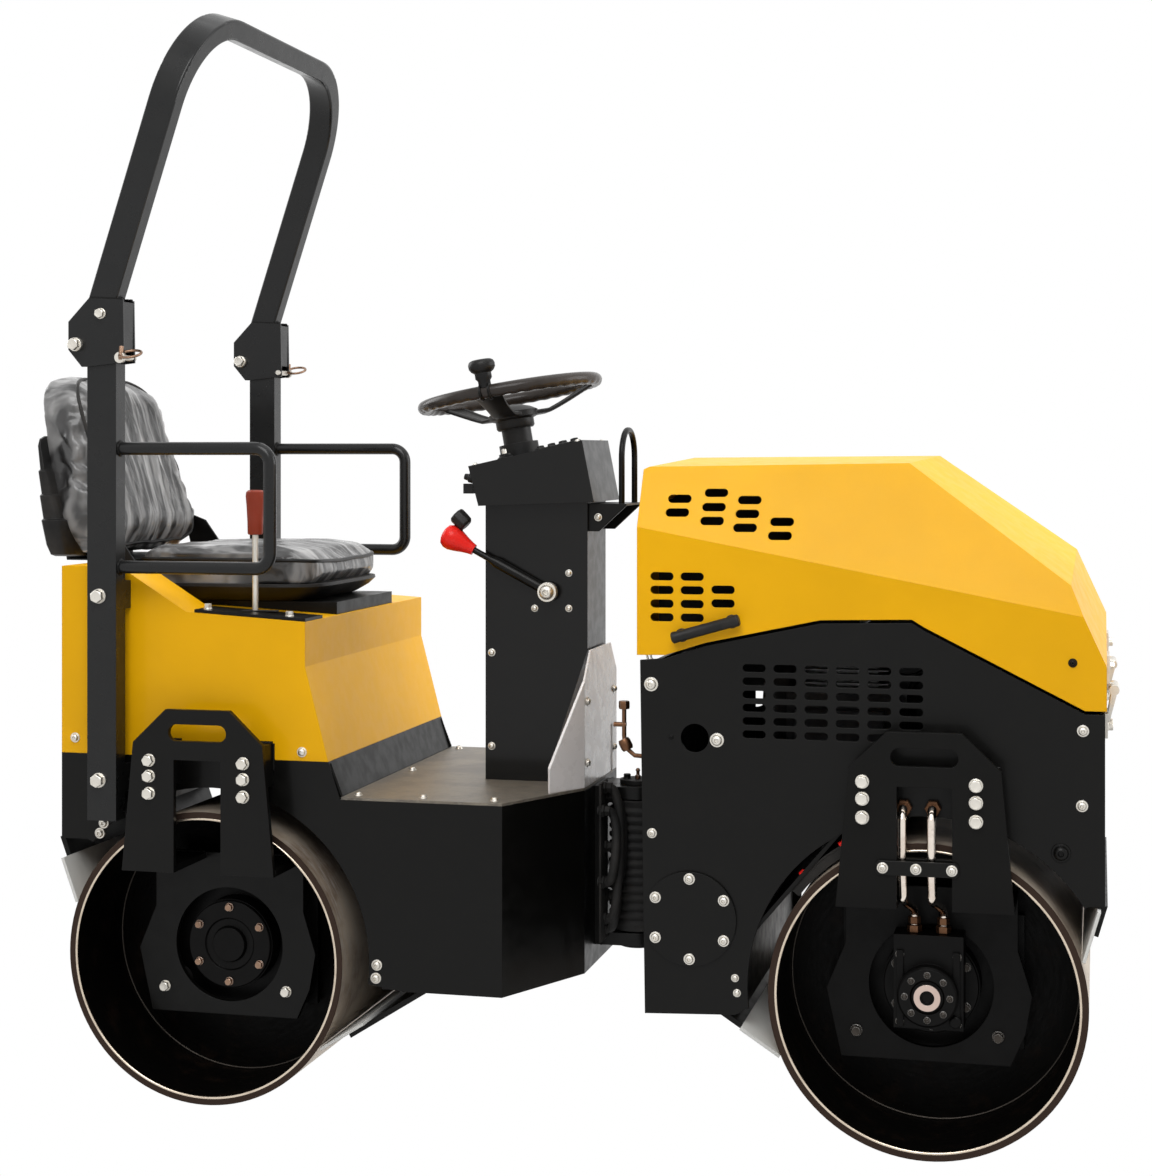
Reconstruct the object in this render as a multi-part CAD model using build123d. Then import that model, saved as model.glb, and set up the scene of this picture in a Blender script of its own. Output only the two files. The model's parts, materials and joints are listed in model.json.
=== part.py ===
from build123d import *
import math
import os

# Ride-on articulated tandem road roller, in millimetres.
# +X points forward, +Y to the machine's left and +Z up. The origin is on the ground, under the
# middle of the machine's bounding box. Places on the rear frame are counted from the rear drum's
# axle, and places on the front frame from the front drum's axle.

# ---------------------------------------------------------------- driving dimensions
WHEEL_BASE = 1367.0
REAR_AXLE_X = -622.0
FRONT_AXLE_X = REAR_AXLE_X + WHEEL_BASE

DRUM_RADIUS = 280.0
DRUM_WIDTH = 784.0
DRUM_SHELL = 15.0
DRUM_WEB_OUT = 195.0          # outer face of each drum web, from the centre plane
DRUM_WEB_SHEET = 12.0
AXLE_RADIUS = 30.0
AXLE_END = 246.0              # tip of each stub axle, from the centre plane
RUNNING_GAP = 0.05            # radial clearance of a shaft in its bearing

BODY_HALF = 360.0             # outer face of the side plates
SHEET = 8.0
ARCH_GAP = 42.0               # from the drum's surface to the wheel arch
ARCH_RADIUS = DRUM_RADIUS + ARCH_GAP

BRACKET_HALF = 425.0          # outer face of the drum brackets
BRACKET_SHEET = 12.0
BRACKET_FOOT = 448.0          # height of the legs' feet
BRACKET_SHOULDER = 695.0
BRACKET_TOP = 759.0
BRACKET_WINDOW_TOP = 663.0
CARRIER_HALF = 270.0          # outer face of the plate that holds the hub
HUB_HOLE_RADIUS = 112.0
HUB_RADIUS = 88.0
HUB_FACE = 262.0
HUB_PLATE_SHEET = 12.0
HUB_PLATE_GAP = 10.0          # from the drum web to the hub plate
MOUNT_RADIUS = 28.0
MOUNT_PLACES = [(-127.0, 193.0), (127.0, 193.0), (-118.0, 372.0), (118.0, 372.0)]  # (x, z)

REAR_WALL_X = -314.0
REAR_SKIRT_LOW = 492.0
DECK_Z = 660.0
PLATFORM_Z = 594.0
FLOOR_SHEET = 5.0
KEEL_Z = 232.0
SKIRT_FRONT_X = 583.0
NOSE_X = 689.0                # front wall of the rear frame
NOSE_HALF = 142.0
SEAT_BOX_FRONT_X = 193.0
RISER_TOP_X = 240.0
RISER_FOOT_X = 264.0
SEAT_BOX_TOP = 1026.0
SEAT_DECK_REAR = (-51.0, 940.0)      # (x, z) ends of the sloping seat deck
SEAT_DECK_FRONT = (SEAT_BOX_FRONT_X, 925.0)
SEAT_WELL_HALF = 245.0
SEAT_HALF = 228.0
BACK_HALF = 222.0
PANEL = 4.0

POST_REAR_X = -227.0
POST_DEPTH = 60.0
POST_WIDTH = 40.0
POST_GAP = 25.0                      # from the side plates to the posts
POST_INNER = BODY_HALF + POST_GAP
POST_OUTER = POST_INNER + POST_WIDTH
POST_FOOT = 541.0
POST_TOP = 1484.7
POST_WALL = 5.0
POST_SPACERS = [(592.0, 646.0), (946.0, 1000.0)]     # (low, high) of each spacer block
HOOP_FOOT = POST_TOP + 0.3
HOOP_PIVOT = (-246.0, 1456.0)        # (x, z)
HOOP_PIVOT_RADIUS = 8.0
HOOP_LUG_RADIUS = 17.0
HOOP_LUG_SHEET = 14.0
HOOP_SIDE_GAP = 0.5
HOOP_ROUND = 5.0                     # rounding of the tube's edges
HOOP_BRACKET_SHEET = 5.0
HOOP_LEAN = 18.0                     # degrees forward of upright
HOOP_KNEE = 1541.0                   # height where the legs begin to lean
HOOP_DEPTH = POST_DEPTH * math.cos(math.radians(HOOP_LEAN))
HOOP_TOP = 2121.0
HOOP_CORNER = 180.0                  # bend radius at the tube's middle
LOCK_PIN = (-154.0, 1430.0)          # (x, z)
LOCK_PIN_RADIUS = 5.5

ARMREST_TUBE = 12.5
ARMREST_FRONT_X = 140.0
ARMREST_LOW = 1028.0
ARMREST_HIGH = 1256.0
ARMREST_CORNER = 30.0

COLUMN_REAR_X = 470.0
COLUMN_FRONT_X = 680.0
COLUMN_HALF = 80.0
DASH_HALF = 115.0
DASH_LOW_REAR = (465.0, 1142.0)      # (x, z) corners of the dashboard box
DASH_HIGH_REAR = (444.0, 1221.0)
DASH_HIGH_FRONT = (677.0, 1273.0)
DASH_LOW_FRONT = (701.0, 1151.0)

WHEEL_CENTRE = (499.0, 1367.0)       # (x, z) of the steering wheel
WHEEL_RADIUS = 190.0
WHEEL_RIM = 13.0
WHEEL_TILT = 10.0
WHEEL_DISH = 34.0                    # from the rim's plane down to the hub's middle

PIVOT_X = 765.0                      # articulation pin, from the rear axle
PIN_RADIUS = 25.0
CLEVIS_LOW = 270.0
CLEVIS_HIGH = 585.0
CLEVIS_SHEET = 25.0
CLEVIS_RADIUS = 55.0
SWING_Z = 430.0                      # height of the oscillation shaft
SWING_RADIUS = 35.0
YOKE_RADIUS = 46.0
ROD_WINDOW = (74.0, 176.0)           # (low, high) Y of the hole the cylinder passes through
ROD_EYE = (10.0, 130.0)              # (x, y) of the cylinder's rod eye, from the articulation pin
ANCHOR = (400.0, 118.0)              # (x, y) of the cylinder's rear pin, from the rear axle
CYLINDER_Z = 400.0
BARREL_RADIUS = 24.0
ROD_RADIUS = 12.0
EYE_RADIUS = 22.0
EYE_HEIGHT = 34.0
ANCHOR_PIN_RADIUS = 12.0
EAR_GAP = 5.0
EAR_SHEET = 10.0

BULKHEAD_X = -512.0                  # rear face of the front frame, from the front axle
NOSE_WALL_X = 307.0                  # front face of the front frame
FRONT_DECK_Z = 620.0
FRONT_KEEL_Z = 228.0
FRONT_SKIRT_LOW = 455.0
DRUM_WALL = 345.0               # from an axle to the wall between its drum and the hitch
HOOD_GAP = 6.0
HOOD_SHEET = 4.0
HOOD_HINGE = (323.0, 826.0)          # (x, z) of the hood's hinge pins
HINGE_RADIUS = 9.0
TIE_HOLE = (-419.0, 728.0)           # (x, z) of the tie-down hole in each side plate
TIE_HOLE_RADIUS = 26.0

BLADE_GAP = 1.0               # from a scraper's edge to its drum
BLADE_HALF = 388.0
BLADE_SHEET = 6.0
HOLDER_HALF = 346.0
HOLDER_SHEET = 10.0
# Each scraper: its drum, which side of the drum it is on (1 away from the hitch, -1 towards it),
# the height of its edge as an angle round the drum, its lean away from the drum, its length, where
# its holder starts along it, and the height where the holder meets the frame.
SCRAPERS = [
    {"drum": "rear", "side": 1, "angle": 19.8, "lean": 40.0, "length": 90.0, "start": 40.0,
     "top": REAR_SKIRT_LOW},
    {"drum": "rear", "side": -1, "angle": -33.9, "lean": 24.0, "length": 100.0, "start": 46.0,
     "top": KEEL_Z},
    {"drum": "front", "side": 1, "angle": 17.5, "lean": 34.0, "length": 92.0, "start": 42.0,
     "top": FRONT_SKIRT_LOW},
    {"drum": "front", "side": -1, "angle": -23.4, "lean": 34.0, "length": 85.0, "start": 40.0,
     "top": FRONT_KEEL_Z},
]
SHAFT_RADIUS = 9.0
HUB_THICKNESS = 30.0
SPOKE_ANGLES = (90.0, 210.0, 330.0)
SPOKE_WIDTH = 30.0
SPOKE_SHEET = 7.0
SPINNER_ANGLE = -90.0
SPINNER_RADIUS = 23.0
LEVER_PIVOT = (603.0, 972.0)
LEVER_KNOB = (414.0, 1074.0)
SWING_HOUSING = 50.0
BARREL_START = 32.0
BARREL_END = 262.0
GLAND_GAP = 0.4
PORT_RISE = 104.0             # from the drum's axis up to the motor's ports
PORT_Y = -305.0
PIPE_RADIUS = 7.0
PIPE_Y = -405.5
PIPE_TOP = 611.0
# Each drive pipe: x at its upper fitting and x at the motor's port.
PIPES = [(-40.0, -27.0), (11.0, 25.0)]
CLAMP = ((-86.0, 70.0), (506.0, 536.0))
# The hood's lower edge, (x, z) from the front axle. The side plates' upper edge runs below it.
HOOD_EDGE = [(-525, 877), (-474, 878), (-400, 902), (-190, 947), (-27, 951), (-4, 937), (273, 797),
             (NOSE_WALL_X, 797)]
GRILLE_X0, GRILLE_Z0 = -310.0, 858.0
GRILLE_PITCH_X, GRILLE_PITCH_Z = 56.4, 24.0
GRILLE_COUNT = 6
GRILLE_SLOT = (42.0, 14.0)
# Faces of the hood, each a point and an outward direction, from the front axle. The right half is
# given and the left half mirrors it.
HOOD_FACES = [
    ((-527, -360, 1112), (0.0938, -0.8637, 0.4953)),
    ((-41, -240, 1229), (-0.0084, -0.0528, 0.9986)),
    ((-41, -240, 1229), (0.5624, -0.1333, 0.8162)),
    ((249, -333, 1014), (0.9083, -0.0798, 0.4109)),
]
HOOD_REAR_X = -527.0
HOOD_FRONT_X = 310.0
HOOD_REAR_BEVEL = ((HOOD_REAR_X, 0, 1217), (-0.45, 0, 0.89))
# Ventilation slots in the hood, (x, z) from the front axle: two groups on each side.
LOWER_VENTS = [(-480, 1022), (-480, 997), (-480, 972), (-480, 947), (-424, 1022), (-424, 997),
               (-424, 972), (-424, 947), (-367, 999), (-367, 974)]
UPPER_VENTS = [(-454, 1163), (-456, 1138), (-388, 1174), (-390, 1148), (-391, 1123), (-326, 1161),
               (-328, 1136), (-330, 1111), (-264, 1122), (-266, 1097)]
VENT_SLOT = (43.0, 15.0)
HINGE_PLACES = (-235.0, 235.0)
KNUCKLE_HALF = 14.0

SIDES = (("right", -1), ("left", 1))
PARTS = {}


# ---------------------------------------------------------------- small helpers
def rear(x):
    """A place on the rear frame, from the rear axle to the machine's own X."""
    return REAR_AXLE_X + x


def front(x):
    """A place on the front frame, from the front axle to the machine's own X."""
    return FRONT_AXLE_X + x


def block(x, y, z):
    """A box between (low, high) pairs."""
    size = [high - low for low, high in (x, y, z)]
    middle = [(low + high) / 2 for low, high in (x, y, z)]
    return Pos(*middle) * Box(*size)


def span(side, inner, outer):
    """The (low, high) Y pair between two distances from the centre plane on one side."""
    return (min(side * inner, side * outer), max(side * inner, side * outer))


def plate_y(outline, y):
    """A plate standing along X, its outline given as (x, z) points."""
    sketch = Plane.XZ.offset(-y[1]) * Polygon(*outline, align=None)
    return extrude(sketch, y[1] - y[0], dir=(0, -1, 0))


def plate_z(outline, z):
    """A plate lying flat, its outline given as (x, y) points."""
    sketch = Plane.XY.offset(z[0]) * Polygon(*outline, align=None)
    return extrude(sketch, z[1] - z[0], dir=(0, 0, 1))


def plate_x(outline, x):
    """A plate standing across the machine, its outline given as (y, z) points."""
    sketch = Plane.YZ.offset(x[0]) * Polygon(*outline, align=None)
    return extrude(sketch, x[1] - x[0], dir=(1, 0, 0))


def rod_y(x, z, radius, y):
    """A round bar across the machine between a (low, high) Y pair."""
    return Pos(x, (y[0] + y[1]) / 2, z) * Rot(90, 0, 0) * Cylinder(radius, y[1] - y[0])


def rod_x(y, z, radius, x):
    """A round bar along the machine between a (low, high) X pair."""
    return Pos((x[0] + x[1]) / 2, y, z) * Rot(0, 90, 0) * Cylinder(radius, x[1] - x[0])


def rod_z(x, y, radius, z):
    """An upright round bar between a (low, high) Z pair."""
    return Pos(x, y, (z[0] + z[1]) / 2) * Cylinder(radius, z[1] - z[0])


def bar(start, end, radius):
    """A round bar from one point to another."""
    start, end = Vector(*start), Vector(*end)
    run = end - start
    return Plane(origin=(start + end) / 2, z_dir=run) * Cylinder(radius, run.length)


def knobbed_bar(start, end, radius, knob):
    """A round bar from one point to another with a ball round its end."""
    start, end = Vector(*start), Vector(*end)
    run = end - start
    stem = run.length - knob / 2
    lie = Plane(origin=start, z_dir=run)
    return lie * (Pos(0, 0, stem / 2) * Cylinder(radius, stem) + Pos(0, 0, run.length) * Sphere(knob))


def bent_bar(points, corner, radius):
    """A round bar along straight runs with tangent bends of one radius."""
    path = FilletPolyline(*points, radius=corner)
    return sweep(Plane(origin=path @ 0, z_dir=path % 0) * Circle(radius), path=path)


def slot_y(x, z, length, height, y):
    """A cutter for a long round-ended slot through a plate that stands along X."""
    sketch = Plane.XZ.offset(-y[1]) * Pos(x, z) * SlotOverall(length, height)
    return extrude(sketch, y[1] - y[0], dir=(0, -1, 0))


def mirrored(points):
    """The (x, y) points with their mirror images in the centre plane, as one closed outline."""
    return points + [(x, -y) for x, y in reversed(points)]


def keep(name, solids):
    """Files a sub-part's solids under its node name."""
    PARTS[name] = solids if isinstance(solids, list) else [solids]


# ---------------------------------------------------------------- drums and what carries them
def drum(axle_x):
    """An open-ended drum: shell, two webs and two stub axles, turned from one weldment."""
    half = DRUM_WIDTH / 2
    shell = rod_y(axle_x, DRUM_RADIUS, DRUM_RADIUS, (-half, half))
    shell -= rod_y(axle_x, DRUM_RADIUS, DRUM_RADIUS - DRUM_SHELL, (-half, half))
    for _, side in SIDES:
        web = span(side, DRUM_WEB_OUT - DRUM_WEB_SHEET, DRUM_WEB_OUT)
        shell += rod_y(axle_x, DRUM_RADIUS, DRUM_RADIUS - DRUM_SHELL, web)
        shell += rod_y(axle_x, DRUM_RADIUS, AXLE_RADIUS, span(side, DRUM_WEB_OUT, AXLE_END))
    return shell


def drum_carrier(axle_x, side):
    """One side's drum bracket: outer fork, spacers to the side plate, arms and hub plate."""
    foot_out, foot_in, shoulder, crown = 155.0, 48.0, 132.0, 65.0
    fork = [(-crown, BRACKET_TOP), (crown, BRACKET_TOP), (shoulder, BRACKET_SHOULDER),
            (foot_out, BRACKET_FOOT), (foot_in, BRACKET_FOOT), (foot_in, BRACKET_WINDOW_TOP),
            (-foot_in, BRACKET_WINDOW_TOP), (-foot_in, BRACKET_FOOT), (-foot_out, BRACKET_FOOT),
            (-shoulder, BRACKET_SHOULDER)]
    outer = span(side, BRACKET_HALF - BRACKET_SHEET, BRACKET_HALF)
    carrier = plate_y([(axle_x + x, z) for x, z in fork], outer)
    carrier -= slot_y(axle_x, BRACKET_TOP - 44, 118, 32, outer)
    for end in (-1, 1):
        spacer_x = sorted((axle_x + end * 60, axle_x + end * 128))
        spacer = block(spacer_x, span(side, BODY_HALF, BRACKET_HALF - BRACKET_SHEET), (612, 692))
        arm_x = sorted((axle_x + end * foot_in, axle_x + end * foot_out))
        arm = block(arm_x, span(side, CARRIER_HALF, BRACKET_HALF - BRACKET_SHEET),
                    (BRACKET_FOOT, BRACKET_FOOT + BRACKET_SHEET))
        carrier += spacer + arm
    inner = [(-155, BRACKET_FOOT + BRACKET_SHEET), (155, BRACKET_FOOT + BRACKET_SHEET),
             (155, 350), (180, 270), (168, 200), (142, 142), (-163, 142), (-190, 265), (-155, 350)]
    plate_span = span(side, CARRIER_HALF - BRACKET_SHEET, CARRIER_HALF)
    inner_plate = plate_y([(axle_x + x, z) for x, z in inner], plate_span)
    inner_plate -= rod_y(axle_x, DRUM_RADIUS, HUB_HOLE_RADIUS, plate_span)
    return carrier + inner_plate


def drum_hub(axle_x, side):
    """One side's hub: a plate on rubber mounts with a blind bearing housing in its middle."""
    near = DRUM_WEB_OUT + HUB_PLATE_GAP
    far = near + HUB_PLATE_SHEET
    outline = [(-165, 160), (165, 160), (165, 405), (-165, 405)]
    hub = plate_y([(axle_x + x, z) for x, z in outline], span(side, near, far))
    hub += rod_y(axle_x, DRUM_RADIUS, HUB_RADIUS, span(side, far, HUB_FACE))
    return hub - rod_y(axle_x, DRUM_RADIUS, AXLE_RADIUS + RUNNING_GAP, span(side, near, AXLE_END + 4))


def rubber_mounts(axle_x):
    """Eight rubber blocks between the hub plates and the carriers of one drum."""
    near = DRUM_WEB_OUT + HUB_PLATE_GAP + HUB_PLATE_SHEET
    return [rod_y(axle_x + x, z, MOUNT_RADIUS, span(side, near, CARRIER_HALF - BRACKET_SHEET))
            for _, side in SIDES for x, z in MOUNT_PLACES]


def scraper(drum, side, angle, lean, length, start, top):
    """One scraper's blade and the holder on its back, which reaches up to the frame."""
    axle_x = REAR_AXLE_X if drum == "rear" else FRONT_AXLE_X
    out = side if drum == "front" else -side
    turn = math.radians(angle)
    heading = math.radians(angle + 90 - lean)
    reach = DRUM_RADIUS + BLADE_GAP
    run = (math.cos(heading), math.sin(heading))
    back = (math.sin(heading), -math.cos(heading))
    edge = (reach * math.cos(turn), reach * math.sin(turn))

    def corner(along, away):
        """A point of the scraper's section, as (x, z)."""
        x = edge[0] + run[0] * along + back[0] * away
        return axle_x + out * x, DRUM_RADIUS + edge[1] + run[1] * along + back[1] * away

    end = BLADE_SHEET + HOLDER_SHEET
    section = [corner(0, 0), corner(length, 0), corner(length, BLADE_SHEET), corner(0, BLADE_SHEET)]
    blade = plate_y(section, (-BLADE_HALF, BLADE_HALF))
    reach_up = (top + 40 - DRUM_RADIUS - edge[1]) / run[1]
    holder = plate_y([corner(start, BLADE_SHEET), corner(reach_up, BLADE_SHEET), corner(reach_up, end),
                      corner(start, end)], (-HOLDER_HALF, HOLDER_HALF))
    above = block((axle_x - 900, axle_x + 900), (-500, 500), (top, top + 200))
    return blade, holder - above


# ---------------------------------------------------------------- rear frame
def rear_chassis():
    """The rear weldment: arched side plates, deck, rear wall, riser and the hollow nose box."""
    under_floor = PLATFORM_Z - FLOOR_SHEET
    outline = [(REAR_WALL_X, DECK_Z), (REAR_WALL_X, REAR_SKIRT_LOW), (-259, REAR_SKIRT_LOW),
               (326, 241), (387, KEEL_Z), (SKIRT_FRONT_X, KEEL_Z), (SKIRT_FRONT_X, under_floor),
               (RISER_FOOT_X, under_floor), (RISER_TOP_X, DECK_Z)]
    outline = [(rear(x), z) for x, z in outline]
    chassis = block((rear(REAR_WALL_X), rear(RISER_TOP_X) - SHEET),
                    (-BODY_HALF + SHEET, BODY_HALF - SHEET), (DECK_Z - SHEET, DECK_Z))
    chassis += block((rear(REAR_WALL_X), rear(REAR_WALL_X) + SHEET),
                     (-BODY_HALF + SHEET, BODY_HALF - SHEET), (REAR_SKIRT_LOW, DECK_Z))
    chassis += plate_y([(rear(RISER_TOP_X) - SHEET, DECK_Z), (rear(RISER_TOP_X), DECK_Z),
                        (rear(RISER_FOOT_X), under_floor), (rear(RISER_FOOT_X) - SHEET, under_floor),
                        (rear(RISER_TOP_X) - SHEET, DECK_Z - SHEET)],
                       (-BODY_HALF + SHEET, BODY_HALF - SHEET))
    for _, side in SIDES:
        plate = plate_y(outline, span(side, BODY_HALF - SHEET, BODY_HALF))
        plate -= rod_y(REAR_AXLE_X, DRUM_RADIUS, ARCH_RADIUS, span(side, 0, BODY_HALF))
        chassis += plate
    nose = [(SKIRT_FRONT_X - SHEET, BODY_HALF - SHEET), (SKIRT_FRONT_X, BODY_HALF),
            (NOSE_X, NOSE_HALF)]
    outer = plate_z(mirrored([(rear(x), y) for x, y in nose[1:]]), (KEEL_Z, under_floor))
    hollow = [(SKIRT_FRONT_X - 1, BODY_HALF - 1.2 * SHEET), (SKIRT_FRONT_X, BODY_HALF - 1.2 * SHEET),
              (NOSE_X - SHEET, NOSE_HALF - 0.5 * SHEET)]
    outer -= plate_z(mirrored([(rear(x), y) for x, y in hollow]), (KEEL_Z + SHEET, under_floor))
    keel = block((rear(DRUM_WALL), rear(SKIRT_FRONT_X)), (-BODY_HALF + SHEET, BODY_HALF - SHEET),
                 (KEEL_Z, KEEL_Z + SHEET))
    window = block((rear(NOSE_X) - 2 * SHEET, rear(NOSE_X)), ROD_WINDOW,
                   (CYLINDER_Z - 52, CYLINDER_Z + 52))
    drum_wall = block((rear(DRUM_WALL), rear(DRUM_WALL) + SHEET), (-BODY_HALF + SHEET, BODY_HALF - SHEET),
                      (KEEL_Z, under_floor))
    return chassis + keel + outer + drum_wall + cylinder_anchor() - window


def cylinder_anchor():
    """Two ears on a post that hold the steering cylinder's rear pin, standing on the keel plate."""
    x, y = rear(ANCHOR[0]), ANCHOR[1]
    half = EYE_HEIGHT / 2
    low = (CYLINDER_Z - half - 1 - EAR_SHEET, CYLINDER_Z - half - 1)
    high = (CYLINDER_Z + half + 1, CYLINDER_Z + half + 1 + EAR_SHEET)
    anchor = block((x - 50, x - 32), (y - EYE_RADIUS, y + EYE_RADIUS), (KEEL_Z + SHEET, high[1]))
    for ear in (low, high):
        anchor += block((x - 40, x), (y - EYE_RADIUS, y + EYE_RADIUS), ear)
        anchor += rod_z(x, y, EYE_RADIUS, ear)
    return anchor + rod_z(x, y, ANCHOR_PIN_RADIUS, (low[0], high[1]))


def floor_plate():
    """The operator's floor, a worn steel sheet over the nose box."""
    plan = [(RISER_FOOT_X + 2, BODY_HALF), (SKIRT_FRONT_X, BODY_HALF), (NOSE_X, NOSE_HALF)]
    return plate_z(mirrored([(rear(x), y) for x, y in plan]), (PLATFORM_Z - FLOOR_SHEET, PLATFORM_Z))


def seat_box():
    """The yellow box under the seat: a hollow sheet body with a well for the seat."""
    bend = 840.0

    def profile(wall):
        return [(REAR_WALL_X + wall, DECK_Z), (REAR_WALL_X + wall, SEAT_BOX_TOP - wall),
                (-190 - 0.4 * wall, SEAT_BOX_TOP - wall),
                (SEAT_DECK_REAR[0] - 0.4 * wall, SEAT_DECK_REAR[1] - wall),
                (SEAT_DECK_FRONT[0] - wall, SEAT_DECK_FRONT[1] - wall),
                (SEAT_BOX_FRONT_X - wall, bend), (RISER_TOP_X - wall, DECK_Z)]

    half = BODY_HALF
    body = plate_y([(rear(x), z) for x, z in profile(0)], (-half, half))
    body -= plate_y([(rear(x), z) for x, z in profile(PANEL)], (-half + PANEL, half - PANEL))
    well = block((rear(REAR_WALL_X) + 14, rear(SEAT_DECK_REAR[0])),
                 (-SEAT_WELL_HALF, SEAT_WELL_HALF), (SEAT_DECK_REAR[1], SEAT_BOX_TOP))
    lining = block((rear(REAR_WALL_X) + 14 - PANEL, rear(SEAT_DECK_REAR[0])),
                   (-SEAT_WELL_HALF - PANEL, SEAT_WELL_HALF + PANEL),
                   (SEAT_DECK_REAR[1] - PANEL, SEAT_BOX_TOP))
    whole = plate_y([(rear(x), z) for x, z in profile(0)], (-half, half))
    return body + (lining & whole) - well


def seat_base():
    """The seat's base plate and rails, lying on the seat deck."""
    outline = [(-230, SEAT_DECK_REAR[1]), SEAT_DECK_REAR, (188, deck_height(188)),
               (188, 950), (-230, 950)]
    return plate_y([(rear(x), z) for x, z in outline], (-170, 170))


def deck_height(x):
    """Height of the sloping seat deck at a place on the rear frame."""
    (x0, z0), (x1, z1) = SEAT_DECK_REAR, SEAT_DECK_FRONT
    return z0 + (z1 - z0) * (x - x0) / (x1 - x0)


def rounded_plate(face, low, high, radius):
    """A rounded upright slab that trims a seat part, its corners given between two face points."""
    width, height = high[0] - low[0], high[1] - low[1]
    middle = Pos((low[0] + high[0]) / 2, (low[1] + high[1]) / 2)
    return extrude(face * middle * RectangleRounded(width, height, radius), 1600, both=True)


def seat_cushion():
    """The seat cushion, a plain closed form with rounded corners in plan."""
    outline = [(-252, 972), (-225, 950.5), (168, 950.5), (192, 985), (186, 1030), (150, 1050), (60, 1066),
               (-215, 1060), (-252, 1035)]
    cushion = plate_y([(rear(x), z) for x, z in outline], (-SEAT_HALF, SEAT_HALF))
    return cushion & rounded_plate(Plane.XY, (rear(-252), -SEAT_HALF), (rear(192), SEAT_HALF), 75)


def seat_back():
    """The backrest, a plain closed form that leans back and has rounded corners from the front."""
    low, high = 1030.0, 1422.0
    outline = [(-404, low), (-455, 1378), (-440, 1412), (-398, high), (-352, 1385), (-284, 1110),
               (-282, 1062), (-300, low)]
    back = plate_y([(rear(x), z) for x, z in outline], (-BACK_HALF, BACK_HALF))
    return back & rounded_plate(Plane.YZ, (-BACK_HALF, low), (BACK_HALF, high), 70)


def seat_shell():
    """The seat's folded back pan, from the seat base round under and behind the backrest."""
    outline = [(-230.3, 942), (-270, 942), (-270, SEAT_BOX_TOP), (-411, SEAT_BOX_TOP),
               (-450.5, 1300), (-444.4, 1300), (-405, 1029.6), (-262, 1029.6), (-262, 950),
               (-230.3, 950)]
    return plate_y([(rear(x), z) for x, z in outline], (-150, 150))


def lever_plate():
    """The cover plate under the brake lever, on the seat deck's right edge."""
    x = (-36, 192)
    outline = [(x[0], deck_height(x[0])), (x[1], deck_height(x[1])),
               (x[1], deck_height(x[1]) + 6), (x[0], deck_height(x[0]) + 6)]
    return plate_y([(rear(a), z) for a, z in outline], (-356, -262))


def brake_lever():
    """The parking brake lever: rod and grip."""
    x, y = 64, -292
    foot = deck_height(x) + 6.5
    return rod_z(rear(x), y, 6, (foot, 1092)) + rod_z(rear(x), y, 14, (1086, 1175))


def posts():
    """The two upright posts of the roll-over hoop, each with its spacers and the lug of its hinge."""
    made = []
    for _, side in SIDES:
        x = (rear(POST_REAR_X), rear(POST_REAR_X) + POST_DEPTH)
        post = block(x, span(side, POST_INNER, POST_OUTER), (POST_FOOT, POST_TOP))
        post -= block((x[0] + POST_WALL, x[1] - POST_WALL),
                      span(side, POST_INNER + POST_WALL, POST_OUTER - POST_WALL),
                      (POST_FOOT, POST_TOP - POST_WALL))
        for z in POST_SPACERS:
            post += block(x, span(side, BODY_HALF, POST_INNER), z)
        middle = POST_INNER + POST_WIDTH / 2
        lug_span = span(side, middle - HOOP_LUG_SHEET / 2, middle + HOOP_LUG_SHEET / 2)
        pivot_x, pivot_z = rear(HOOP_PIVOT[0]), HOOP_PIVOT[1]
        lug = rod_y(pivot_x, pivot_z, HOOP_LUG_RADIUS, lug_span)
        lug += block((pivot_x, x[0]), lug_span, (pivot_z - HOOP_LUG_RADIUS, pivot_z + HOOP_LUG_RADIUS))
        made.append(post + lug - rod_y(pivot_x, pivot_z, HOOP_PIVOT_RADIUS + RUNNING_GAP, lug_span))
    return made


def armrest(side):
    """One side guard: a tube loop from its post's front face."""
    y = side * (POST_INNER + POST_WIDTH / 2)
    start = rear(POST_REAR_X) + POST_DEPTH
    points = [(start, y, ARMREST_LOW), (rear(ARMREST_FRONT_X), y, ARMREST_LOW),
              (rear(ARMREST_FRONT_X), y, ARMREST_HIGH), (start, y, ARMREST_HIGH)]
    return bent_bar(points, ARMREST_CORNER, ARMREST_TUBE)


# ---------------------------------------------------------------- folding hoop
def hoop_plane():
    """The leaning plane of the hoop, its local Y running up the legs from the knees."""
    lean = math.radians(HOOP_LEAN)
    knee_x = rear(POST_REAR_X) + POST_DEPTH / 2
    up = Vector(math.sin(lean), 0, math.cos(lean))
    return Plane(origin=(knee_x, 0, HOOP_KNEE), x_dir=(0, 1, 0), z_dir=Vector(0, 1, 0).cross(up))


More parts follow.
